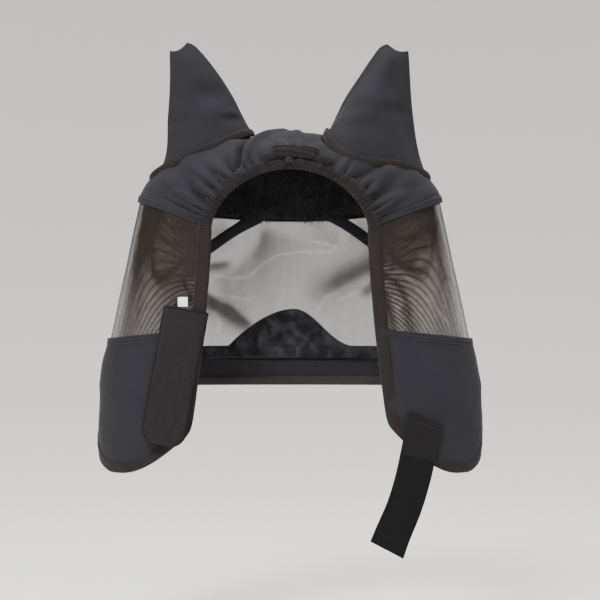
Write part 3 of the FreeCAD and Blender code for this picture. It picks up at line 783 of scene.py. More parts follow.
def crown_height(s, t):
    """Gathers that run off the elastic, the deep pleat left of the middle, and soft creases."""
    run = np.maximum((t - elastic_share(s)) * profile_length(s), 0)
    d = 0.7 * np.sin(s * 230.0 + 2 * np.sin(s * 40)) * np.exp(-run / 6.0)
    for at, width, reach, depth, lean in GATHERS:
        groove = bump(s - at - lean * run, width * (1 + run / 45.0))
        ridge = bump(s - at - 2.4 * width - lean * run, 1.3 * width * (1 + run / 45.0))
        d = d - (depth * groove - 0.4 * depth * ridge) * np.exp(-run / reach)
    lines = {"middle": 0.0, "pleat": mix(-0.34, -0.105, np.clip((t - 0.08) / 0.29, 0, 1.15)),
             "crease": mix(0.10, 0.03, np.clip(t / 0.38, 0, 1.2))}
    for line, off, width, height, begin, growth, end, fall in CROWN_DENTS:
        window = smooth((t - begin) / growth) * smooth((end - t) / fall)
        d = d + height * window * bump(s - lines[line] - off, width)
    low_left = smooth((lines["pleat"] - s) / 0.03) * smooth((s + 0.30) / 0.1)
    d = d - 4.5 * low_left * bump(t - 0.36, 0.16)
    d = d + 1.5 * np.sin(s * 23 + 1.0) * bump(t - 0.4, 0.2) * bump(s, 0.35)
    side_folds = np.sin(np.abs(s) * 31.0 + t * 9.0) * bump(np.abs(s) - 0.72, 0.16) * bump(t - 0.25, 0.2)
    d = d + 2.0 * side_folds
    fade = smooth((1 - np.abs(s)) / 0.03) * smooth((1.0 - t) / 0.04)
    return d * fade + doubled_edge(seam_distance(s, t))


def crown_face(s, t, lift):
    """Points that stand a lift off the crown's cloth, and its normals."""
    n = crown_normals(s, t)
    return crown(s, t) + n * (crown_height(s, t) + lift)[..., None], n


def make_crown():
    """Each half of the crown, with an opening under its ear: points inside it move out to its rim."""
    for word, side in SIDES:
        u, v = grid(np.linspace(CENTRE_LAP, 1, 200), np.linspace(0, 1, 160))
        start = elastic_share(u * 0.999) * 0.5
        t = mix(start, 1.0, v)
        ahead = (t - rear_share(u)) / EAR_T_HALF
        far = ear_reach(side, np.arctan2(ahead, (u - EAR_MIDDLE) / EAR_HALF))
        q = np.sqrt(((u - EAR_MIDDLE) / ear_reach_s(far)) ** 2 + (ahead / far) ** 2)
        inside = q < 1
        scale = np.where(inside, 1 / np.maximum(q, 1e-3), 1)
        s = np.where(inside, EAR_MIDDLE + (u - EAR_MIDDLE) * scale, u)
        t = np.where(inside, rear_share(s) + (t - rear_share(u)) * scale, t)
        corners = [inside[:-1, :-1], inside[1:, :-1], inside[1:, 1:], inside[:-1, 1:]]
        keep = ~(corners[0] & corners[1] & corners[2] & corners[3])
        points, n = crown_face(side * s, t, 0.9)
        piece = cloth("crown_cloth_" + word, points, n, CROWN_CLOTH, LYCRA * 0.8, keep)
        declare_sheet(piece, crown(side * s, t), "gathered", "poll_elastic", "front_mesh")
        ride_side(piece, side, "crown_cloth", "crown_panel")


def make_poll_patch():
    """Two short folded ends of elastic over the pleat, with a smaller tab low on each side."""
    u, v = grid(np.linspace(-0.17, 0.27, 180), np.linspace(0, 1, 26))
    inner = smooth((u + 0.100) / 0.008) * smooth((0.165 - u) / 0.008)
    gap = bump(u - 0.045, 0.006)
    t = mix(0.060, 0.090 + 0.042 * inner - 0.008 * gap + 0.002 * np.sin(u * 70), v)
    t = t + 0.020 * smooth((-0.10 - u) / 0.07) * (v - 1) + 0.012 * smooth((u - 0.17) / 0.08) * (v - 0.3)
    height = 3.5 + 0.12 * np.sin(u * 190) + 0.1 * np.sin(u * 350 + v * 5) + 0.9 * np.sin(np.pi * v) ** 0.4
    height = height - 1.7 * gap - 1.8 * bump(u - 0.168, 0.008) - 1.8 * bump(u + 0.102, 0.008)
    height = height - 1.0 * bump(v - 0.84, 0.05) * inner + 0.3 * np.sin(v * 17 + u * 20) * inner
    n = crown_normals(u, t)
    points = crown(u, t) + n * height[..., None]
    piece = cloth("poll_patch_cloth", points, n, PATCH_TAPE, 1.2)
    declare_sheet(piece, points, "gathered", "crown_panel")
    ride_body(piece, "hood", "binding_tape", "poll_patch")


# --- Lower band ---
SEAM_LAP = 2.5             # how far the lower panels go over the mesh at their top seam
HEM_LAP = 2.0              # how far above their hem they end, inside its tape
NEOPRENE = 2.2             # thickness of the lower panels
CHEEK_FOLD = {-1.0: ((-112, -262), (-150, -345), 10.0, 0.9), 1.0: ((118, -262), (150, -300), 14.0, 0.5)}


def make_cheeks():
    """The lower side panels: soft waves, one slanting fold and a doubled top edge."""
    for word, side in SIDES:
        u, v = grid(np.linspace(SIDE_T, 0.992, 90), np.linspace(0, 1, 80))
        z = mix(cheek_seam(u) + SEAM_LAP, hem(side * u) + HEM_LAP, v)
        p, n = section(side * u, z), section_normals(side * u, z)
        x = p[..., 0]
        d = 1.8 * np.sin(z / 33.0 + side) * np.sin(np.abs(x) / 21.0) + 1.0 * np.sin(z / 14.0 + x / 11.0)
        d = d - 2.5 * fold_line(x, z, *CHEEK_FOLD[side])
        d = d * smooth(v / 0.2) * smooth((1 - v) / 0.2) * smooth((1 - u) / 0.1)
        d = d + doubled_edge(cheek_seam(u) + SEAM_LAP - z, 7.0)
        p = p + n * (d + 0.9)[..., None]
        piece = cloth("cheek_cloth_" + word, p, n, CHEEK_CLOTH, NEOPRENE)
        declare_sheet(piece, p, "hung", "side_mesh_" + word)
        ride_side(piece, side, "cheek_cloth", "cheek_panel_" + word)


# Thickness of each tape, and how far its row of stitches runs inside its edge and above the edge's path.
HEM_TAPE_THICK, HEM_ROW_INSET, HEM_ROW_LIFT = 3.4, 1.8, 3.2
BINDING_THICK, BINDING_ROW_INSET, BINDING_ROW_LIFT = 3.5, 2.0, 3.4
NOSE_HEM_LAP = 0.004                   # how far the nose's hem runs in under the cheeks' binding
BINDING_STEP, RIB_PITCH, RIB_HEIGHT = 0.7, 2.9, 0.8      # the ribs are the elastic's gathers
GATHERS_STOP, CHEEK_HEM_START = (-18.0, 26.0), (195.0, 40.0)     # from the arch's foot: start and span


def nose_parts(lap=0.0):
    """The nose's middle part, which stays on the hood, and the two that bend with the sides."""
    return (("left", -SIDE_T - lap, -MIDDLE_T), ("middle", -MIDDLE_T, MIDDLE_T),
            ("right", MIDDLE_T, SIDE_T + lap))


def make_nose_band():
    """The band round the nose, from the front mesh's lower seam to its hem."""
    for word, start, end in nose_parts():
        t, v = grid(np.linspace(start, end, 170 if word == "middle" else 44), np.linspace(0, 1, 60))
        z = mix(cheek_seam(t) + SEAM_LAP, hem(t) + HEM_LAP, v)
        p, n = section(t, z), section_normals(t, z)
        ridge = doubled_edge(cheek_seam(t) + SEAM_LAP - z, 7.0)
        piece = cloth("nose_band_cloth_" + word, p + n * (0.7 + ridge)[..., None], n, BAND_CLOTH, NEOPRENE)
        declare_sheet(piece, p, "hung", "front_mesh")
        ride_part(piece, word, "nose_neoprene", "nose_band")


def make_nose_hem():
    """The tape round the nose's bottom edge, which widens towards the cheeks, with its stitches."""
    for word, start, end in nose_parts(NOSE_HEM_LAP):
        t = np.linspace(start, end, 300 if word == "middle" else 60)
        edge = section(t, hem(t))
        path, inward, up, run = even_path(edge, section_normals(t, hem(t)), 1.2, 1.0)
        width = mix(NOSE_HEM_WIDTH, CHEEK_HEM_WIDTH, hem_drop(np.interp(run, run_along(edge), t)))
        profile = tape_profile(HEM_TAPE_THICK, 9)
        piece = sweep("nose_hem_tape_" + word, path, inward, up, width, profile, HEM_TAPE)
        ride_part(piece, word, "binding_tape", "nose_hem")
        row = path + inward * (width - HEM_ROW_INSET)[:, None] + up * HEM_ROW_LIFT
        piece = stitching("hem_stitches_" + word, [(row, up, *TAPE_STITCH)], TAPE_THREAD)
        ride_part(piece, word, "binding_tape")


def edge_route(side):
    """The bound edge below the arch as (t, z) pairs: down the rear edge, round the corner, and
    along the cheek's hem to the side fold."""
    t = np.concatenate([np.ones(90), 1 - (1 - SIDE_T) * np.linspace(0, 1, 260)[1:]])
    z = np.concatenate([np.linspace(SEAM_EDGE_Z, hem(side), 90), hem(side * t[90:])])
    kernel = bump(np.arange(-9, 10), 4.0)     # rounds the corner
    kernel /= kernel.sum()
    t, z = [np.convolve(np.pad(a, 9, "edge"), kernel, "valid") for a in (t, z)]
    return side * np.minimum(t, 1.0), z


def blurred(a):
    return np.stack([np.convolve(np.pad(a[:, k], 4, "edge"), np.ones(9) / 9, "valid") for k in range(3)], -1)


def even_path(path, ups, step, inward_sign):
    """A path at even steps, with its directions into the cloth and out of the hood."""
    run = run_along(path)
    even = np.arange(0, run[-1], step)
    path, ups = resampled(path, run, even), unit(blurred(resampled(ups, run, even)))
    along = unit(blurred(np.gradient(path, axis=0)))
    return path, inward_sign * unit(np.cross(along, ups)), ups, even


def make_bindings():
    """Gathered elastic round the arch, which goes on as the binding of the whole rear edge."""
    for word, side in SIDES:
        s = side * np.linspace(CENTRE_LAP, 1, 161)[:-1]
        t, z = edge_route(side)
        foot = run_along(arch(s))[-1]
        route = np.concatenate([arch(s), section(t, z)])
        ups = np.concatenate([crown_normals(s, 0 * s + 0.02), section_normals(t, z)])
        path, inward, up, run = even_path(route, ups, BINDING_STEP, -side)
        gathers = 1 - smooth((run - foot - GATHERS_STOP[0]) / GATHERS_STOP[1])
        ribs = np.sin(run * 2 * np.pi / RIB_PITCH + 2.2 * np.sin(run / 6.0)) + 0.7 * np.sin(run * 1.37 + 2.0)
        ribs = ribs * (0.7 + 0.4 * np.sin(run / 7.0 + 1.0)) * gathers
        path = path + up * (RIB_HEIGHT * ribs + 0.4 * np.sin(run / 13.0) * (1 - gathers))[:, None]
        path = path - inward * (0.5 * ribs)[:, None]
        hem_at = smooth((run - foot - CHEEK_HEM_START[0]) / CHEEK_HEM_START[1])
        elastic = mix(ARCH_ELASTIC[0], ARCH_ELASTIC[1], smooth(run / (0.8 * foot)))
        width = mix(elastic + 0.7 * np.roll(ribs, 2), BINDING_WIDTH, 1 - gathers)
        width = mix(width, CHEEK_HEM_WIDTH, hem_at)
        profile = tape_profile(BINDING_THICK, 11)
        piece = sweep("edge_binding_" + word, path, inward, up, width, profile, TAPE)
        piece.data.materials.append(ELASTIC)
        for k in range(int(np.sum(run < foot + 2.0)) * len(profile)):
            piece.data.polygons[k].material_index = 1     # the elastic
        ride_side(piece, side, "binding_tape", "poll_elastic", "rear_binding_" + word, "cheek_hem_" + word)
        smooth_part = run > foot - 10.0
        row = (path + inward * (width - BINDING_ROW_INSET)[:, None] + up * BINDING_ROW_LIFT)[smooth_part]
        piece = stitching("binding_stitches_" + word, [(row, up[smooth_part], *TAPE_STITCH)], TAPE_THREAD)
        ride_side(piece, side, "binding_tape")


# --- Seams of the panels ---
CROWN_ROWS, CROWN_ROW_LIFT = (4.0, 9.6), 2.62      # how far each row runs from the seam, and off the shape
CHEEK_ROWS, CHEEK_ROW_LIFT = (1.5, 5.0), 3.95


def make_seams():
    """Two rows of stitches along the crown's edge, and two along the top of the lower panels."""
    for word, side in SIDES:
        runs = []
        for off in CROWN_ROWS:
            s = 1 - off / SIDE_SPAN
            front_s = np.linspace(s, 0.0, 160)
            front_t = 1 - off / profile_length(front_s)
            s_all = np.concatenate([np.full(160, s), front_s])
            t_all = np.concatenate([np.linspace(0.1, 0.97, 160), front_t])
            face = crown_face(side * s_all, np.minimum(t_all, 0.985), CROWN_ROW_LIFT)
            runs.append((*face, *CLOTH_STITCH))
        piece = stitching("crown_seam_stitches_" + word, runs, THREAD)
        ride_side(piece, side, "crown_cloth")
        t = side * np.linspace(0.985, 0.0, 260)
        runs = []
        for off in CHEEK_ROWS:
            z = cheek_seam(t) - off
            n = section_normals(t, z)
            runs.append((section(t, z) + n * CHEEK_ROW_LIFT, n, *CLOTH_STITCH))
        piece = stitching("cheek_seam_stitches_" + word, runs, THREAD)
        ride_side(piece, side, "cheek_cloth")


# --- Inside of the brow and nose ---
def pad_grid(points, inside, thick, edge=0.12):
    """The inner face of a pad that swells inwards from a grid of points."""
    u, v = grid(*[np.linspace(0, 1, count) for count in points.shape[:2]])
    swell = (1 - np.abs(2 * u - 1) ** (1 / edge)) * (1 - np.abs(2 * v - 1) ** (0.5 / edge))
    return points + inside * (0.8 + thick * swell ** 0.5)[..., None]


def closed_pad(name, back, front, material):
    """A closed pad between two grids of points, joined round their rims."""
    nu, nv = back.shape[:2]
    faces = quads(nu, nv)
    total = nu * nv
    ring = ([i * nv for i in range(nu)] + [(nu - 1) * nv + j for j in range(1, nv)]
            + [i * nv + nv - 1 for i in range(nu - 2, -1, -1)] + [j for j in range(nv - 2, 0, -1)])
    rim = [[a, b, b + total, a + total] for a, b in zip(ring, ring[1:] + ring[:1])]
    all_faces = faces.tolist() + (faces[:, ::-1] + total).tolist() + rim
    verts = np.concatenate([back.reshape(-1, 3), front.reshape(-1, 3)])
    uv = np.concatenate([grid_uv(back), grid_uv(front)])
    return new_object(name, verts, all_faces, material, uv, closed=True)


def pile(name, roots, directions, size, width, material):
    """Fibres: narrow curved blades that stand on roots."""
    count = len(roots)
    size = size * rng.uniform(0.65, 1.2, count)
    side = unit(np.cross(directions, rng.normal(size=(count, 3))))
    droop = np.array([0.0, 0.0, -1.0])
    edges = []
    for level in (0.0, 0.5, 1.0):
        centre = roots + directions * (size * level)[:, None] + droop * (size * 0.45 * level ** 2)[:, None]
        half = width * (1 - 0.75 * level)
        edges += [centre - side * half, centre + side * half]
    verts = np.stack(edges, 1).reshape(-1, 3)
    base = np.arange(count)[:, None] * 6
    faces = np.concatenate([base + np.array([0, 1, 3, 2]), base + np.array([2, 3, 5, 4])])
    return new_object(name, verts, faces, material, verts[:, :2])


FIBRES, FIBRE_SIZE, FIBRE_WIDTH = 22000, 7.5, 0.36
PAD_GRID = (90, 40)                    # points of the pad's face along and down
BROW_PAD_THICK, NOSE_PAD_THICK = 9.0, 4.0


def make_brow_pad():
    """A fleece pad behind the brow: a swollen form, and fibres that stand on its face."""
    s, v = grid(np.linspace(-0.45, 0.45, PAD_GRID[0]), np.linspace(0, 1, PAD_GRID[1]))
    low = 0.990 + 0.006 * np.sin(s * 9.0) - 0.030 * smooth((s - 0.05) / 0.25)
    t = mix(0.68, low, v)
    back, n = crown(s, t), crown_normals(s, t)
    front = pad_grid(back, -n, BROW_PAD_THICK)
    piece = closed_pad("brow_fleece_pad", back - n * 0.5, front, FLEECE)
    ride_body(piece, "hood", "fleece", "brow_pad")
    i, j = [rng.uniform(0, size - 1.01, FIBRES) for size in PAD_GRID]
    a, b = i.astype(int), j.astype(int)
    fi, fj = (i - a)[:, None], (j - b)[:, None]

    def pick(g):
        return mix(mix(g[a, b], g[a + 1, b], fi), mix(g[a, b + 1], g[a + 1, b + 1], fi), fj)

    roots = pick(front) + pick(n) * 0.5
    swirl = np.stack([np.sin(roots[:, 0] / 14.0 + roots[:, 2] / 9.0), 0 * i, np.cos(roots[:, 0] / 11.0)], -1)
    way = unit(-pick(n) + 0.5 * swirl + rng.normal(0, 0.35, (FIBRES, 3)) + np.array([0, 0, -0.35]))
    piece = pile("brow_fleece", roots, way, FIBRE_SIZE, FIBRE_WIDTH, FLEECE)
    ride_body(piece, "hood", "fleece")


BROW_TAPE_Z, BROW_TAPE_SLOPE, BROW_TAPE_T = -90.5, 300.0, (0.085, 0.245)
BROW_TAPE_LEAN, BROW_TAPE_BOW = 3.5, 3.0       # how much higher the right tape is, halved, and their bow


def make_brow_tapes():
    """A dark tape inside each side of the brow, with a narrow edging along its lower side."""
    for word, side in SIDES:
        t = side * np.linspace(*BROW_TAPE_T, 90)
        share = (np.abs(t) - BROW_TAPE_T[0]) / (BROW_TAPE_T[1] - BROW_TAPE_T[0])
        z = (BROW_TAPE_Z + BROW_TAPE_LEAN * side - BROW_TAPE_SLOPE * (np.abs(t) - 0.1)
             + BROW_TAPE_BOW * np.sin(np.pi * share))
        path, down, n, _ = even_path(section(t, z), section_normals(t, z), 1.0, side)
        width = TAPE_WIDTH * mix(1.25, 1.0, smooth(np.linspace(0, 1, len(path)) / 0.4))
        start = path - n * 2.6 - down * (width / 2)[:, None]
        piece = sweep("brow_band_" + word, start, down, -n, width, tape_profile(1.5, 7), DARK_TAPE)
        ride_body(piece, "hood", "binding_tape", "brow_tape_" + word)
        low = path - n * 2.0 + down * (width / 2 - 1.0)[:, None]
        edge = sweep("brow_tape_edge_" + word, low, down, -n, 2.4, tape_profile(1.1, 5), TAPE)
        ride_body(edge, "hood", "binding_tape")


NOSE_PEAK_X, NOSE_LEFT, NOSE_RIGHT = 5.0, (76.0, 0.85), (68.0, 2.0)    # half widths and powers
NOSE_PAD_RISE, NOSE_HUMP_RISE = 13.0, 42.0     # how high the pad stands over its seam, and the hump over it


def nose_top(x):
    """Top edge of the nose pad: a long side on the left and a steeper one on the right."""
    left, right = [np.cos(np.pi / 2 * np.clip(np.abs(x - NOSE_PEAK_X) / half, 0, 1)) ** power
                   for half, power in (NOSE_LEFT, NOSE_RIGHT)]
    return NOSE_SEAM_Z + NOSE_PAD_RISE + NOSE_HUMP_RISE * np.where(x < NOSE_PEAK_X, left, right)


def make_nose_pad():
    """The plush pad inside the nose, with its humped top."""
    t, v = grid(np.linspace(-0.34, 0.34, 150), np.linspace(0, 1, 40))
    x = section(t, np.full_like(t, NOSE_SEAM_Z))[..., 0]
    z = mix(nose_top(x), NOSE_SEAM_Z - 1.0, v)
    back, n = section(t, z), section_normals(t, z)
    front = pad_grid(back, -n, NOSE_PAD_THICK, 0.06)
    lumps = 0.7 * np.sin(x / 9.0 + 2 * np.sin(z / 8.0)) * np.sin(z / 7.0 + x / 15.0)
    front = front - n * (lumps * np.sin(np.pi * v))[..., None]
    piece = closed_pad("nose_velvet_pad", back - n * 0.4, front, PLUSH)
    ride_body(piece, "hood", "nose_velvet", "nose_pad")


# --- Ears ---
def through(points, k):
    """A smooth curve through points, at shares k of its length."""
    points = np.array(points, float)
    at = run_along(points)
    slope = np.gradient(points, at, axis=0)
    x = np.asarray(k) * at[-1]
    i = np.clip(np.searchsorted(at, x, side="right") - 1, 0, len(points) - 2)
    h = (at[i + 1] - at[i])[..., None]
    f = (x - at[i])[..., None] / h
    return ((2 * f ** 3 - 3 * f ** 2 + 1) * points[i] + (f ** 3 - 2 * f ** 2 + f) * h * slope[i]
            + (-2 * f ** 3 + 3 * f ** 2) * points[i + 1] + (f ** 3 - f ** 2) * h * slope[i + 1])


# Both edges of each ear from base to tip, by |X| and Z, and the dents in its cloth: |X|, Z, widths, depth.
EAR_INNER = {-1.0: [(38, -2), (47, 12), (64, 42), (84, 71), (98, 88), (107, 96.5), (113, 99)],
             1.0: [(41, -2), (48, 12), (60, 36), (77, 62), (92, 84), (100, 94), (107, 97.5)]}
EAR_OUTER = {-1.0: [(142, -47), (136, -38), (132.5, 20), (131.5, 70), (132, 90)],
             1.0: [(142, -47), (138, -30), (133.5, 20), (131, 70), (130, 90)]}
EAR_DENTS = {-1.0: [(84, 42, 11, 9, -8.0), (60, 14, 9, 3.5, -6.0), (63, 21, 8, 3, 3.5),
                    (118, 12, 14, 5, -4.5), (90, 20, 8, 16, 3.0), (112, 60, 10, 20, 2.5)],
             1.0: [(66, 26, 13, 6, -5.5), (124, 22, 13, 5, -4.5), (100, 55, 14, 14, -3.0),
                   (56, 10, 6, 5, 2.5), (112, 34, 12, 6, 2.4), (84, 6, 12, 6, -2.5)]}
EAR_ROOT, EAR_RISE = np.array([89.0, 55.0, -22.0]), np.array([0.38, 0, 0.92])    # right ear's foot, way up
EAR_BEND = 38.0                        # length over which an ear bends
EAR_CLOTH = 1.4


def ear_reach(side, angle):
    """How far an ear's base reaches at an angle: the right one bulges low towards the arch."""
    low = RIGHT_EAR_LOW if side > 0 else 0.0
    return 1 + low * bump(angle - RIGHT_EAR_ANGLE, 0.6) * smooth(-2.0 * np.sin(angle))


def ear_loop(side, angle, grow=0.0):
    """The base of an ear on the crown, and the crown's normals there."""
    angle = (angle + np.pi) % (2 * np.pi) - np.pi
    far = ear_reach(side, angle)
    s = EAR_MIDDLE + (ear_reach_s(far) + grow) * np.cos(angle)
    t = rear_share(s) + (EAR_T_HALF * far + grow) * np.sin(angle)
    return crown(side * s, t), crown_normals(side * s, t)


def ear_points(side, face, a, h):
    """face is -1 at the rear and 1 in front; a runs from the inner edge to the outer, h upwards."""
    base, _ = ear_loop(side, face * np.pi * (1 - a))
    k = h[0]
    inner, outer = through(EAR_INNER[side], k), through(EAR_OUTER[side], k)
    x = side * mix(inner[None, :, 0], outer[None, :, 0], a)
    z = mix(inner[None, :, 1], outer[None, :, 1], a)
    sag = base[:, :1, 2] - mix(inner[0, 1], outer[0, 1], a[:, :1])
    z = z + sag * (1 - h) ** 3 - 4.0 * np.sin(np.pi * a) * smooth((h - 0.8) / 0.2)
    shift = (base[:, :1, 0] - side * mix(inner[0, 0], outer[0, 0], a[:, :1])) * (1 - h) ** 3
    hollow = 3.0 * np.sin(np.pi * a) ** 0.7 * h ** 0.5 * (1 - h ** 12)
    depth = (base[:, :1, 1] - FOLD_Y) * (1 - h) ** 0.8 + face * hollow
    for dx, dz, wx, wz, d in EAR_DENTS[side]:
        depth = depth + face * d * bump(np.abs(x) - dx, wx) * bump(z - dz, wz) * np.sin(np.pi * a)
    return np.stack([x + shift, FOLD_Y + depth, z], -1)


def make_ears():
    for word, side in SIDES:
        flip = np.array([side, 1, 1])
        root, tip = EAR_ROOT * flip, (EAR_ROOT + EAR_RISE * EAR_BEND) * flip
        for name, face in (("back", -1), ("front", 1)):
            a, h = grid(0.5 - 0.5 * np.cos(np.pi * np.linspace(0, 1, 64)), np.linspace(0, 1, 90))
            p = ear_points(side, face, a, h)
            n = unit(np.cross(np.gradient(p, axis=0), np.gradient(p, axis=1)))
            n = n * np.sign(np.sum(n[..., 1]) * face)
            piece = cloth("ear_cloth_%s_%s" % (name, word), p, n, CROWN_CLOTH, EAR_CLOTH, None, 0.0)
            declare_sheet(piece, p, "gathered", "ear_collar_" + word)
            bend(piece, "hood", "ear_" + word, root, tip, "crown_cloth", "ear_%s_%s" % (name, word))


EAR_TAPE_WIDTH, EAR_TAPE_SUNK = 8.0, 3.2      # how far the tape goes above the crown's face, and below it
EAR_TAPE_GROW = 0.004                         # how far outside the ear's base it lies, in units of s
EAR_TAPE_ENDS = (0.55, 0.44)                  # how much lower it stands at its inner and its outer end
EAR_TAPE_PROFILE = np.array([(0.0, 0.2), (0.02, 1.7), (0.3, 2.3), (0.7, 2.1), (0.97, 1.5), (1.0, 0.4),
                             (0.98, -0.4), (0.5, -0.3), (0.02, -0.5)])


def make_ear_tapes():
    """The taped seam round each ear's base, narrower at its inner and outer end."""
    m = len(EAR_TAPE_PROFILE)
    for word, side in SIDES:
        angle = np.linspace(0, 2 * np.pi, 200, endpoint=False)
        loop, _ = ear_loop(side, angle, EAR_TAPE_GROW)
        ahead = unit(np.roll(loop, -1, 0) - np.roll(loop, 1, 0))
        up = EAR_RISE * np.array([side, 1, 1]) * np.ones_like(loop)
        out = unit(np.cross(ahead, up))
        centre = loop.mean(0)
        out = out * np.where(np.sum(out * (loop - centre), -1) < 0, -1, 1)[:, None]
        turn = np.abs((angle + np.pi) % (2 * np.pi) - np.pi)
        ends = EAR_TAPE_ENDS[0] * bump(turn - np.pi, 0.22) + EAR_TAPE_ENDS[1] * bump(turn, 0.22)
        tall = EAR_TAPE_WIDTH * (1 - ends) + EAR_TAPE_SUNK
        rise = EAR_TAPE_PROFILE[None, :, :1] * tall[:, None, None] - EAR_TAPE_SUNK
        points = loop[:, None] + up[:, None] * rise + out[:, None] * EAR_TAPE_PROFILE[None, :, 1:]
        faces = quads(len(angle) + 1, m, True) % (len(angle) * m)
        uv = flat_grid(run_along(loop), np.linspace(0, 22, m))
        piece = new_object("ear_tape_" + word, points.reshape(-1, 3), faces, TAPE, uv, closed=True)
        ride_body(piece, "hood", "binding_tape", "ear_collar_" + word)


# --- Closure ---
# Middle lines of the flap and the strap in X and Z, from their sewn edges down.
FLAP_LINE = [(-110.3, -193.6), (-116.0, -226.0), (-122.5, -259.0), (-129.0, -296.0), (-136.5, -340.0)]
STRAP_LINE = [(145.7, -310.0), (143.0, -323.0), (138.2, -343.3), (132.9, -367.9), (122.7, -403.0),
              (108.8, -436.3), (103.4, -450.5)]
FLAP_WIDTH, FLAP_ROUND, FLAP_COLUMNS, STRAP_WIDTH = 49.0, 19.0, 44, 38.0
FLAP_BEND = np.array([-110.5, -4.0, -199.0]), np.array([-112.5, -4.0, -212.0])    # where the flap bends
SEWN_DOWN = 9.0            # how far below the flap's top edge its stitches run
BACKING_THICK, LOOP_THICK, STRAP_THICK, HOOK_THICK = 1.2, 0.5, 1.4, 1.0


def strip_grid(line, width, steps, columns, depth, rounded=0.0, top_tilt=0.0, end_tilt=0.0):
    """Points of a flat strip along a line in X and Z, with a depth function of (share, across)."""
    k = np.linspace(0, 1, steps)
    middle = through(line, k)
    ahead = unit(np.gradient(middle, axis=0))
    side = np.stack([-ahead[:, 1], ahead[:, 0]], -1)
    left = run_along(middle)[-1] * (1 - k)
    half = np.full(steps, width / 2)
    if rounded:
        past = np.clip(rounded - left, 0, rounded)
        half = half - rounded + np.sqrt(np.maximum(rounded ** 2 - past ** 2, 0.3))
    across = half[:, None] * np.linspace(-1, 1, columns)[None]
    x = middle[:, None, 0] + side[:, None, 0] * across
    z = middle[:, None, 1] + side[:, None, 1] * across
    tilt = (top_tilt * (1 - k)[:, None] ** 6 + end_tilt * k[:, None] ** 8) * across
    z = z + tilt
    return np.stack([x, depth(k[:, None], across, x, z), z], -1)


def rearward(points):
    """Directions straight back, for flat pieces that face the rear."""
    back = np.zeros_like(points)
    back[..., 1] = -1
    return back


def make_flap():
    """The loop flap: a backing, the loop face sewn on it, and the stitches along three sides."""
    def depth(k, across, x, z):
        on_cheek = rear_face(x, z)[..., 1] - 5.2
        lift = 7.0 * smooth((k - 0.1) / 0.9) ** 1.6 + 1.5 * np.sin(k * 7.0)
        return on_cheek * mix(1.0, 0.35, smooth(k * 1.5)) - lift * smooth(k / 0.15)

    p = strip_grid(FLAP_LINE, FLAP_WIDTH, 130, FLAP_COLUMNS, depth, rounded=FLAP_ROUND)
    backing = cloth("flap_backing_cloth", p, rearward(p), WEBBING, BACKING_THICK)
    face = p[2:-1, 2:-2].copy()
    c = np.linspace(-1, 1, FLAP_COLUMNS)[None, 2:-2]
    fuzz = 0.1 * np.sin(face[..., 0] * 5.1) * np.sin(face[..., 2] * 4.3)
    sewn = bump(length(face - face[:1]) - SEWN_DOWN, 0.8) * 0.7 + bump(np.abs(c) - 0.86, 0.03) * 0.5
    face[..., 1] += fuzz + sewn - 1.3 - 0.9 * (1 - c ** 10)
    loops = cloth("flap_loop_cloth", face, rearward(face), LOOP_PILE, LOOP_THICK)
    for piece, grid_of, slot, nodes in ((backing, p, "webbing", ("flap_backing",)),
                                        (loops, face, "loop_pile", ("flap_loop_face", "flap_tab"))):
        declare_sheet(piece, grid_of, "hung", "cheek_panel_left")
        bend(piece, "cheek_left", "closure_flap", *FLAP_BEND, slot, *nodes)
    lifted, back = face + rearward(face) * 0.55, rearward(face)
    rows = [(lifted[8], back[8], *CLOSURE_STITCH)]
    rows += [(lifted[8:-12, k], back[8:-12, k], *CLOSURE_STITCH) for k in (2, -3)]
    piece = stitching("flap_stitches", rows, TAPE_THREAD)
    bend(piece, "cheek_left", "closure_flap", *FLAP_BEND, "loop_pile")


STRAP_CUTS = (0, 55, 111, 180)  # each cut lies above the stretch that bends
STRAP_BODIES = ("cheek_right", "strap_upper", "strap_middle", "strap_lower")
STRAP_NODES = (("strap_tab", "strap_webbing_upper"), ("strap_webbing_middle",), ("strap_webbing_lower",))
STRAP_BEND = 7.0           # half the length that bends at each of the strap's joints
STRAP_DOWN = np.array([-0.28, 0, -0.96])       # the strap's rough direction
STITCHED_ROW = 9           # the strap's grid row under its stitches


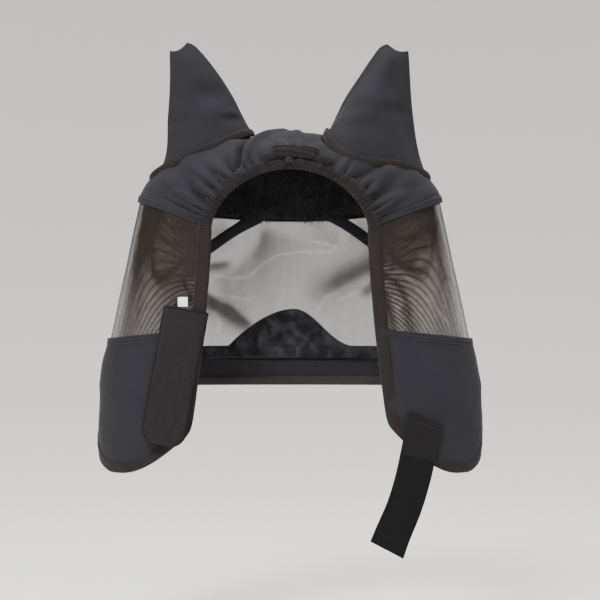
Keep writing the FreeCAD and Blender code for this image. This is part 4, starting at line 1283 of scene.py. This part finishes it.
def make_strap():
    """The hook strap in three lengths, which meet at the cuts."""
    def depth(k, across, x, z):
        on_cheek = rear_face(x, np.maximum(z, -345.0))[..., 1] - 5.4
        hang = -7.0 + 3.0 * np.sin(k * 3.0) + 0.12 * across
        return mix(on_cheek, hang, smooth((k - 0.12) / 0.35))

    p = strip_grid(STRAP_LINE, STRAP_WIDTH, STRAP_CUTS[-1] + 1, 40, depth, top_tilt=-0.22, end_tilt=-0.15)
    hinges = [np.array(j["pos_m"]) / MM for j in frame["joints"] if j["name"].startswith("strap")]
    for i, word in enumerate(("upper", "middle", "lower")):
        part = p[STRAP_CUTS[i]:STRAP_CUTS[i + 1] + 1]
        band = cloth("strap_band_" + word, part, rearward(part), WEBBING, STRAP_THICK)
        pieces = [(band, part, "webbing", STRAP_NODES[i])]
        if i:
            face = part[:, 1:-1] + rearward(part[:, 1:-1]) * STRAP_THICK
            hooks = cloth("hook_face_" + word, face, rearward(face), HOOK_PILE, HOOK_THICK)
            pieces.append((hooks, face, "hook_pile", ("hook_pile_" + word,)))
        else:
            row = p[STITCHED_ROW] + rearward(p[STITCHED_ROW]) * 1.6
            stitches = stitching("strap_stitches", [(row, rearward(row), *CLOSURE_STITCH)], THREAD)
            pieces.append((stitches, None, "webbing", ()))
        for piece, grid_of, slot, nodes in pieces:
            if grid_of is not None:
                declare_sheet(piece, grid_of, "hung", "cheek_panel_right")
            bend(piece, *STRAP_BODIES[i:i + 2], hinges[i] - STRAP_DOWN * STRAP_BEND,
                 hinges[i] + STRAP_DOWN * STRAP_BEND, slot, *nodes)


LABEL_X, LABEL_Z = (-119.5, -109.0), (-191.3, -181.0)


def make_label():
    """A small blank label on the left side mesh, above the flap."""
    x, z = grid(np.linspace(*LABEL_X, 14), np.linspace(*LABEL_Z, 14))
    p = rear_face(x, z)
    p[..., 1] -= 2.2 + 0.5 * np.sin((z + 190) / 9.0 * 2.5)
    piece = cloth("label_cloth", p, rearward(p), LABEL_CLOTH, 0.5)
    declare_sheet(piece, p, "hung", "side_mesh_left")
    ride_body(piece, "cheek_left", "label_cloth", "care_label")


# --- Stage, lights and camera, in metres ---
FLOOR_RADIUS, BOWL_RADIUS, FLOOR_DROP = 1.7, 4.2, 0.10     # the floor's depth is below the mask
FLOOR_COLOUR, FLOOR_ROUGH = (0.86, 0.84, 0.82, 1), 0.9
WORLD_COLOUR, WORLD_STRENGTH = (1.0, 0.985, 0.965, 1), 0.78
MASK_MIDDLE = (0, 0.05, -0.2)
# Each light's place, what it points at, its size and its power.
LIGHTS = {"key": ((-0.9, -1.9, 1.8), (-0.5, -1.2, -0.6), 1.0, 148),
          "fill": ((2.0, -1.8, 0.4), MASK_MIDDLE, 1.8, 12),
          "top": ((0.2, 0.3, 2.2), MASK_MIDDLE, 1.4, 75)}
CAMERA_DISTANCE, VIEW_WIDTH = 1.955, 0.660     # metres from the side folds, and the view's width there
CAMERA_X, CAMERA_Z, SENSOR_WIDTH = 0.011, -0.184, 36.0


def make_stage():
    """A wide pale bowl: a flat floor that rises gently all round."""
    angle_up = np.linspace(0.06, np.pi / 2, 22)
    flat = np.linspace(0.02, FLOOR_RADIUS, 10)
    radii = np.concatenate([flat, FLOOR_RADIUS + BOWL_RADIUS * np.sin(angle_up)])
    heights = np.concatenate([0 * flat, BOWL_RADIUS * (1 - np.cos(angle_up))])
    angle = np.linspace(0, 2 * np.pi, 96, endpoint=False)
    verts = np.stack([np.outer(radii, np.cos(angle)), np.outer(radii, np.sin(angle)),
                      np.outer(heights + CAD_BOX[0][2] - FLOOR_DROP, np.ones(len(angle)))], -1).reshape(-1, 3)
    material = bpy.data.materials.new("studio_floor")
    material.use_nodes = True
    shader = material.node_tree.nodes["Principled BSDF"].inputs
    shader["Base Color"].default_value, shader["Roughness"].default_value = FLOOR_COLOUR, FLOOR_ROUGH
    faces = quads(len(radii), len(angle), True).tolist() + [list(range(len(angle)))]
    floor = new_object("studio_floor", verts / MM, faces, material, verts[:, :2])


def make_lights():
    world = bpy.data.worlds.new("studio")
    bpy.context.scene.world = world
    world.use_nodes = True
    sky = world.node_tree.nodes["Background"].inputs
    sky["Color"].default_value, sky["Strength"].default_value = WORLD_COLOUR, WORLD_STRENGTH
    for name, (place, target, size, power) in LIGHTS.items():
        data = bpy.data.lights.new(name, "AREA")
        data.size, data.energy = size, power
        light = bpy.data.objects.new(name, data)
        bpy.context.scene.collection.objects.link(light)
        light.location = place
        light.rotation_euler = (Vector(target) - Vector(place)).to_track_quat("-Z", "Y").to_euler()


def make_camera():
    data = bpy.data.cameras.new("camera")
    data.sensor_width = SENSOR_WIDTH
    data.lens = data.sensor_width * CAMERA_DISTANCE / VIEW_WIDTH
    camera = bpy.data.objects.new("camera", data)
    bpy.context.scene.collection.objects.link(camera)
    camera.location = (CAMERA_X, FOLD_Y * MM - CAMERA_DISTANCE, CAMERA_Z)
    camera.rotation_euler = (math.pi / 2, 0, 0)
    bpy.context.scene.camera = camera


for make in (make_camera, make_mesh, make_crown, make_poll_patch, make_cheeks, make_nose_band,
             make_nose_hem, make_bindings, make_seams, make_brow_pad, make_brow_tapes, make_nose_pad,
             make_ears, make_ear_tapes, make_flap, make_strap, make_label, make_stage, make_lights):
    make()
